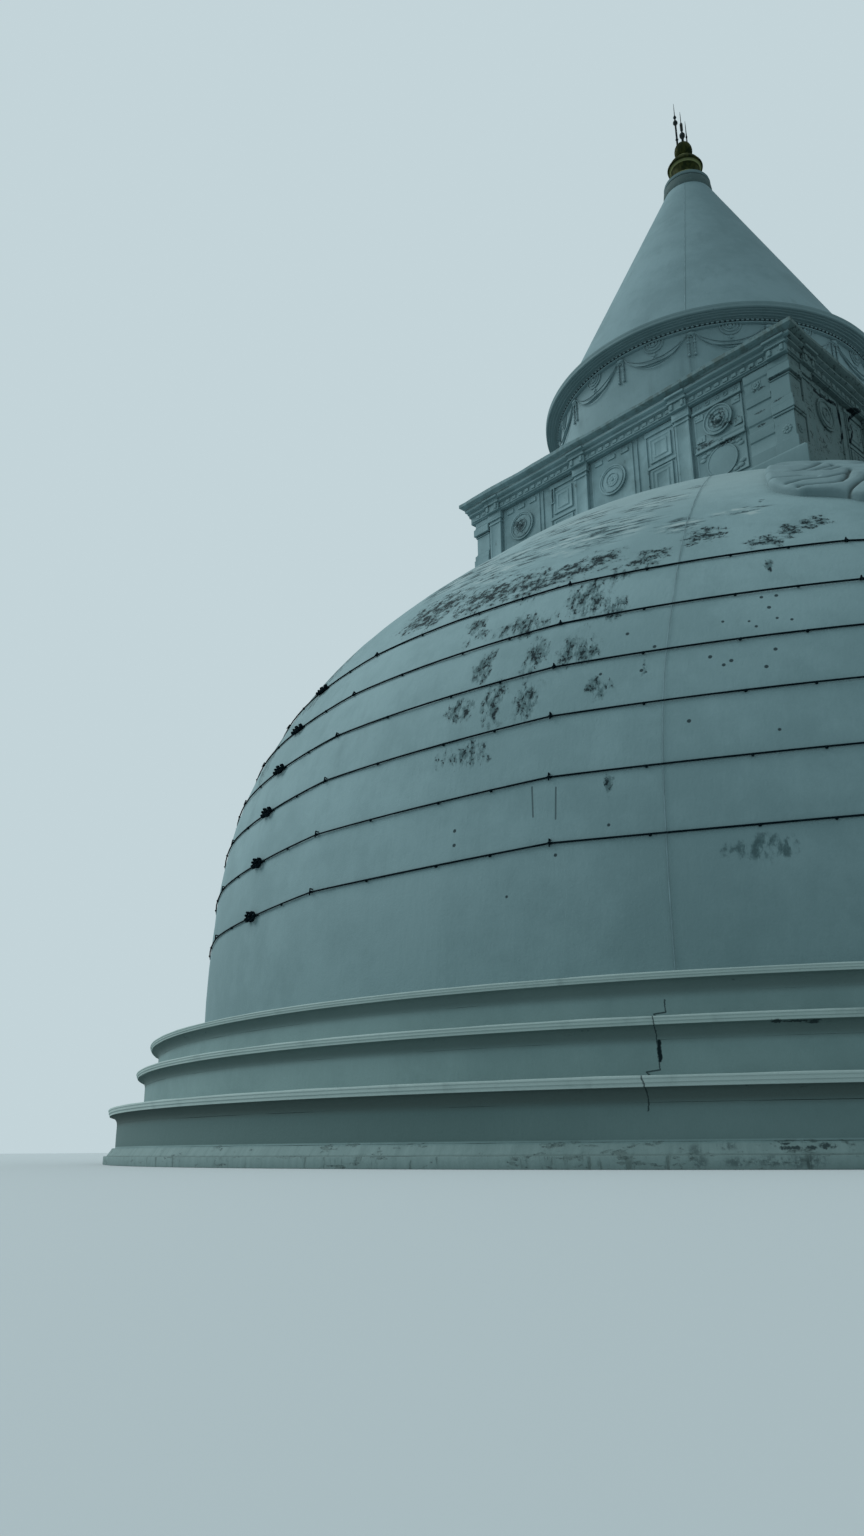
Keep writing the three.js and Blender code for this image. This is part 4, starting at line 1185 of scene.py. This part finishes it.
# Cornice and roof: courses of brick corbelled out one over the other and run smooth in plaster, broken
# forward on small consoles over each pilaster and pier, with a row of little blocks along its frieze.
CORNICE_SIDE = [
    (8.43, 29.15), (8.43, 29.20), (8.50, 29.22), (8.50, 29.27), (8.46, 29.29), (8.46, 29.50), (8.54, 29.53),
    (8.60, 29.55), (8.60, 29.60), (8.56, 29.62), (8.56, 29.70), (8.66, 29.73), (8.72, 29.77), (8.72, 29.84),
    (8.68, 29.86), (8.68, 29.93), (8.78, 29.95), (8.86, 29.99), (8.93, 30.05), (8.93, 30.20),
]
FRIEZE_HALF = 8.3
FRIEZE_BLOCKS = 42
FRIEZE_LEVELS = (29.30, 29.48)
PIER_BREAK = 8.04
BREAK_CENTRES = [*PILASTER_CENTRES, PIER_BREAK]
# Half width, face, foot and head of each course that breaks forward.
BREAK_COURSES = [
    (0.42, 8.60, 29.15, 29.52), (0.47, 8.68, 29.52, 29.62),
    (0.42, 8.66, 29.62, 29.74), (0.47, 8.80, 29.74, 29.86),
]
CONSOLE_SPREAD = 0.26
ROOF_TOP = 30.45
LONG_EDGE = 8.2
LONG_EDGE_CUTS = 40


def wandering(piece, strength):
    """Cuts the long straight edges of a course, and lets them wander as worn plaster does."""
    only(piece)
    bpy.ops.object.mode_set(mode="EDIT")
    bpy.ops.mesh.select_mode(type="EDGE")
    bpy.ops.mesh.select_all(action="DESELECT")
    bpy.ops.object.mode_set(mode="OBJECT")
    corners = [vertex.co for vertex in piece.data.vertices]
    for edge in piece.data.edges:
        start, end = (corners[index] for index in edge.vertices)
        edge.select = min(start.xy.length, end.xy.length) > LONG_EDGE and (end - start).length > LONG_EDGE
    bpy.ops.object.mode_set(mode="EDIT")
    bpy.ops.mesh.subdivide(number_cuts=LONG_EDGE_CUTS)
    bpy.ops.object.mode_set(mode="OBJECT")
    return uneven(piece, strength)


pitch = 2 * FRIEZE_HALF / FRIEZE_BLOCKS
tooth = block((-FRIEZE_HALF + pitch * 0.2, -FRIEZE_HALF + pitch * 0.8), (-8.505, -8.4), FRIEZE_LEVELS)
side_parts = [row_of(tooth, FRIEZE_BLOCKS, pitch)]
for centre in BREAK_CENTRES:
    for half, face, foot, head in BREAK_COURSES:
        side_parts.append(block(about(centre, half), (-face, -FRIEZE_HALF), (foot, head)))
    for console in about(centre, CONSOLE_SPREAD):
        side_parts.append(block(about(console, 0.08), (-8.66, -FRIEZE_HALF), (29.22, 29.50), worn=0.03))
front_side = joined(side_parts)
cornice_parts = [wandering(square_course(CORNICE_SIDE), 0.12)]
cornice_parts += [*(copied(front_side, 90 * quarter) for quarter in (1, 2, 3)), front_side]
hand_over(uneven(joined(cornice_parts), 0.012), "harmika_cornice", "plaster", box_wash, crease=30)
roof = square_course([(8.7, 30.2), (8.66, 30.23), (8.12, ROOF_TOP - 0.01), (8.08, ROOF_TOP)])
hand_over(softened(roof), "harmika_roof", "plaster", box_wash)


# Drum: a round foot and a plain wall of plastered brick, then a band of garlands modelled in plaster.
# Fourteen swags hang between strings of beads, with a half medallion and a bud over the middle of each.
DRUM_FOOT_RADIUS, DRUM_FOOT_TOP = 7.8, 30.8
BAND_FOOT, BAND_TOP = 32.9, 34.25
SWAGS = 14
SWAG_AZIMUTH = -89.2
SWAG_BAY = math.tau * DRUM_RADIUS / SWAGS
SWAG_HIGH, SWAG_LOW = 34.05, 33.12
SWAG_STEPS = 16
STRING_HEAD, STRING_FOOT = 34.15, 33.02
BEADS = 7
LARGE_BEADS = (2, 6)
MEDALLION_LEVEL = 34.22
BUD_LEVEL = 33.62
# The heights where the shade painted between the dentils begins and ends, and how far out it is painted.
DENTIL_SHADE_BAND = (34.33, 34.34), (34.405, 34.415)
DENTIL_SHADE_REACH = 7.60


def worn_drum(finish):
    """Grey drifts all round, the ring painted greyer as the shade under its mouldings, dark dots, and painted
    shade between the dentils.
    """
    height = finish.axis("Z")
    drifts = finish.noise(0.4, detail=5.0)
    ring = finish.band(height, (34.3, 34.45), (34.84, 35.0))
    soot_and_ring_shade = highest(finish.ease(drifts, 0.56, 0.8) * 0.35, ring * 0.3)
    dots = finish.ease(finish.noise(9.0, detail=3.0), 0.72, 0.76) * 0.6
    out = finish.vector("LENGTH", finish.flat(finish.axis("X"), finish.axis("Y")), output="Value")
    dentil_shade = finish.band(height, *DENTIL_SHADE_BAND) * finish.ease(out, DENTIL_SHADE_REACH + 0.02, DENTIL_SHADE_REACH)
    return 0.0, soot_and_ring_shade, ring * 0.1, highest(dots, dentil_shade * 0.85)


drum_wash = lime_wash("drum_lime_wash", worn_drum, streaks=0.5, dirt=0.3, tone=(0.82, 0.78, 0.76))
foot_side = [(DRUM_FOOT_RADIUS, ROOF_TOP), (DRUM_FOOT_RADIUS, DRUM_FOOT_TOP - 0.06)]
foot_side.append((DRUM_FOOT_RADIUS - 0.06, DRUM_FOOT_TOP))
hand_over(uneven(course(foot_side, 144), 0.02), "drum_foot", "plaster", drum_wash)
wall_side = straight((DRUM_RADIUS, DRUM_FOOT_TOP), (DRUM_RADIUS, BAND_FOOT), 8)
hand_over(uneven(course(wall_side, 168), 0.02), "drum_wall", "plaster", drum_wash)


def swag(lift, sizes, out, fullness):
    """A bar that hangs in a curve across one bay, thick in the middle and thin at its ends."""
    path, swell = [], []
    for step in range(SWAG_STEPS + 1):
        along = step / SWAG_STEPS
        sag = bow(along)
        level = SWAG_HIGH - (SWAG_HIGH - SWAG_LOW) * sag**0.9 + lift * sag
        path.append((SWAG_BAY * (0.07 + 0.86 * along), level, out))
        swell.append(1 - fullness + fullness * sag**0.7)
    return swept(path, sizes, 8, swell)


def string_of_beads(across):
    parts = [swept([(across, STRING_HEAD, 0.03), (across, STRING_FOOT, 0.05)], (0.035, 0.03))]
    for bead in range(BEADS):
        level = STRING_HEAD + (STRING_FOOT - STRING_HEAD) * (bead + 1) / BEADS
        size = 0.075 if bead in LARGE_BEADS else 0.05
        parts.append(ball((across, level, 0.06), size, (1, 1, 0.8), detail=1))
    return parts


middle = SWAG_BAY / 2
bay_parts = [swag(0.10, (0.17, 0.05), 0.02, 0.75)]
bay_parts += [swag(-0.07, (0.028, 0.035), 0.07, 0.2), swag(0.27, (0.022, 0.03), 0.05, 0.2)]
bay_parts += string_of_beads(-0.13) + string_of_beads(0.13)
bay_parts += [ball((0, 34.12, 0.05), 0.12, (1.6, 0.8, 0.8)), hoop((0, 34.02, 0.06), 0.07, 0.025, 12)]
for size, out in ((0.44, 0.03), (0.30, 0.055), (0.16, 0.08)):
    bay_parts.append(hoop((middle, MEDALLION_LEVEL, out), size, 0.035, 28))
bay_parts.append(ball((middle, MEDALLION_LEVEL, 0), 0.42, (1, 1, 0.14), detail=3))
bay_parts.append(ball((middle, MEDALLION_LEVEL - 0.05, 0.05), 0.10))
bay_parts.append(ball((middle, BUD_LEVEL, 0.02), 0.09, (1, 1, 0.6)))
for petal in range(5):
    angle = math.radians(72 * petal + 90)
    place = (middle + 0.11 * math.cos(angle), BUD_LEVEL + 0.11 * math.sin(angle), 0)
    bay_parts.append(ball(place, 0.06, (1, 1, 0.5), detail=1))
garlands = row_of(joined(bay_parts), SWAGS, SWAG_BAY)
for vertex in garlands.data.vertices:
    across, up, out = vertex.co
    angle = math.radians(SWAG_AZIMUTH) + across / DRUM_RADIUS
    reach = DRUM_RADIUS + out
    vertex.co = (reach * math.cos(angle), reach * math.sin(angle), min(up, BAND_TOP - 0.002))
only(garlands)
bpy.ops.object.mode_set(mode="EDIT")
faces_out()
band = uneven(course(straight((DRUM_RADIUS, BAND_FOOT), (DRUM_RADIUS, BAND_TOP), 6), 168), 0.02)
hand_over(joined([band, garlands]), "garland_band", "plaster", drum_wash)


# Ring: a projecting round cornice of corbelled brick that carries the cone, run in four fine mouldings,
# with a row of small dentils under its first fillet.
RING_SIDE = [
    (7.55, 34.25), (7.60, 34.27), (7.60, 34.31), (7.56, 34.33), (7.56, 34.41), (7.68, 34.43), (7.68, 34.455),
    (7.80, 34.46), (7.82, 34.48), (7.82, 34.50), (7.93, 34.505), (7.95, 34.52), (7.95, 34.54), (8.04, 34.545),
    (8.06, 34.56), (8.06, 34.58), (8.15, 34.585), (8.19, 34.62), (8.19, 34.74), (8.20, 34.76), (8.20, 34.85),
]
DENTILS = 224

ring = uneven(course(RING_SIDE), 0.012)
dentil = block((7.5, 7.65), (-0.06, 0.06), (34.335, 34.405), worn=0.01)
dentils = [dentil, *(copied(dentil, 360 * count / DENTILS) for count in range(1, DENTILS))]
hand_over(joined([ring, *dentils]), "spire_ring", "plaster", drum_wash, crease=25)


# Cone: solid brick laid in level rings and rendered smooth, plain from the ring to the collar, with a
# faint unevenness that the trowel left.
CONE_ROWS = 60

cone_side = straight((CONE_FOOT_RADIUS, CONE_FOOT), (CONE_TOP_RADIUS, CONE_TOP), CONE_ROWS)
# The cone's wash is toned darker than the rest as painted shade.
cone_wash_toned_as_shade = lime_wash("cone_lime_wash_toned_as_shade", None, streaks=0.5, dirt=0.2, tone=(0.73, 0.71, 0.70))
hand_over(uneven(course(cone_side, 192), 0.012), "spire_cone", "plaster", cone_wash_toned_as_shade)


# Collar: a moulded plaster neck run round the cone's tip, grey and black, with a narrow gap under the lighter
# rim that the bowl sits on; the gap is painted dark as the shade in it.
COLLAR_SIDE = [
    (1.28, 48.80), (1.30, 48.86), (1.285, 49.10), (1.255, 49.34), (1.24, 49.40), (1.18, 49.43), (1.18, 49.47),
    (1.22, 49.49), (1.24, 49.53), (1.24, 49.60), (1.21, 49.64), (1.22, 49.68), (1.17, 49.73), (1.02, 49.76),
]


def worn_collar(finish):
    """A body that is grey and black in patches, a lighter rim, and painted shade in the narrow groove between
    them.
    """
    height = finish.axis("Z")
    rim = finish.ease(height, 49.44, 49.5)
    gap_shade = finish.band(height, (49.38, 49.42), (49.46, 49.50))
    body = finish.ease(finish.noise(3.0, detail=5.0) + 0.25, 0.45, 0.7) * finish.ease(height, 49.5, 49.44)
    mildew = finish.ease(finish.noise(7.0), 0.6, 0.7) * body * 0.5
    return 0.0, highest(body, rim * 0.45), highest(body * 0.4, gap_shade * 0.8), mildew


collar_wash = lime_wash("collar_lime_wash", worn_collar, streaks=0.6, dirt=0.5, tone=(0.72, 0.68, 0.66))
hand_over(uneven(course(COLLAR_SIDE, 64), 0.01), "spire_collar", "plaster", collar_wash)


# Bowl and ball: beaten metal, gilded, and dulled to a dark olive by the weather, with bright rings painted as
# highlights at the foot and the shoulder of the bowl.
BOWL_SIDE = [
    (0.94, 49.76), (0.98, 49.80), (0.98, 49.88), (0.93, 49.93), (0.94, 49.98), (0.90, 50.04), (0.82, 50.10),
    (0.76, 50.15), (0.74, 50.22), (0.745, 50.40), (0.76, 50.62), (0.775, 50.78), (0.80, 50.81), (0.80, 50.85),
    (0.88, 50.89), (0.94, 50.92), (0.95, 50.97), (0.93, 51.02), (0.86, 51.10), (0.84, 51.16), (0.78, 51.28),
    (0.66, 51.38), (0.54, 51.44), (0.50, 51.48), (0.53, 51.52), (0.53, 51.57), (0.49, 51.60), (0.44, 51.62),
]
BALL_SIDE = [
    (0.20, 51.63), (0.30, 51.68), (0.34, 51.72), (0.30, 51.76), (0.38, 51.84), (0.45, 51.96), (0.48, 52.12),
    (0.48, 52.24), (0.455, 52.40), (0.40, 52.54), (0.31, 52.66), (0.20, 52.74), (0.12, 52.765),
]
GLINT_RING_LEVELS = [49.86, 49.99, 50.83, 51.54, 51.72]

gilding = Finish("weathered_gilding", roughness=0.75, metallic=0.1, specular=0.04)
height = gilding.axis("Z")
tarnish = gilding.ease(gilding.noise(4.0, stretch=(1, 1, 0.4), detail=6.0, roughness=0.65), 0.36, 0.62)
# Rings painted bright round the bowl and ball as highlights.
rings = (gilding.ease(gilding.maths("ABSOLUTE", height - level), 0.07, 0.03) for level in GLINT_RING_LEVELS)
dull = gilding.blend(tarnish, (0.028, 0.034, 0.008, 1), (0.008, 0.014, 0.005, 1))
gilding.paint(
    gilding.blend(highest(*rings) * 0.6, dull, (0.24, 0.27, 0.13, 1)),
    roughness=0.7 + tarnish * 0.2, relief=gilding.noise(12.0, detail=5.0), depth=0.006,
)
hand_over(course(BOWL_SIDE, 64), "gilded_bowl", "dressed", gilding.material)
hand_over(course(BALL_SIDE, 64), "gilded_ball", "dressed", gilding.material)


# Rods: three iron spikes stand in the ball, two with turned knobs, and each narrows to a needle, black with
# weather. Each is given by its azimuth, its distance from the axis, and its side from foot to tip.
RODS = {
    "left": (210, 0.27, [
        (0.055, 52.45), (0.055, 53.1), (0.085, 53.18), (0.055, 53.26), (0.05, 54.22), (0.085, 54.27),
        (0.13, 54.36), (0.13, 54.43), (0.09, 54.52), (0.04, 54.6), (0.04, 54.68), (0.08, 54.75), (0.09, 54.8),
        (0.06, 54.88), (0.025, 54.95), (0.018, 55.4), (0.008, 55.8),
    ]),
    "middle": (30, 0.03, [
        (0.07, 52.6), (0.065, 53.1), (0.09, 53.2), (0.15, 53.3), (0.15, 53.44), (0.09, 53.54), (0.05, 53.62),
        (0.05, 53.7), (0.08, 53.76), (0.08, 54.2), (0.045, 54.28), (0.022, 54.34), (0.018, 54.8),
        (0.008, 55.1),
    ]),
    "right": (30, 0.25, [
        (0.035, 52.55), (0.035, 53.12), (0.055, 53.2), (0.035, 53.28), (0.025, 53.5), (0.018, 54.0),
        (0.008, 54.35),
    ]),
}

rod_iron = Finish("rod_iron", roughness=0.7, specular=0.04)
rust = rod_iron.ease(rod_iron.noise(6.0, detail=5.0), 0.45, 0.65)
rod_colour = rod_iron.blend(rust, (0.010, 0.018, 0.020, 1), (0.026, 0.028, 0.024, 1))
rod_iron.paint(rod_colour, relief=rod_iron.noise(25.0), depth=0.004)
for side, (azimuth, reach, outline) in RODS.items():
    rod = course(outline, 16)
    turn = math.radians(azimuth)
    rod.location = (reach * math.cos(turn), reach * math.sin(turn), 0)
    only(rod)
    settled()
    hand_over(rod, f"pinnacle_rod_{side}", "dressed", rod_iron.material)
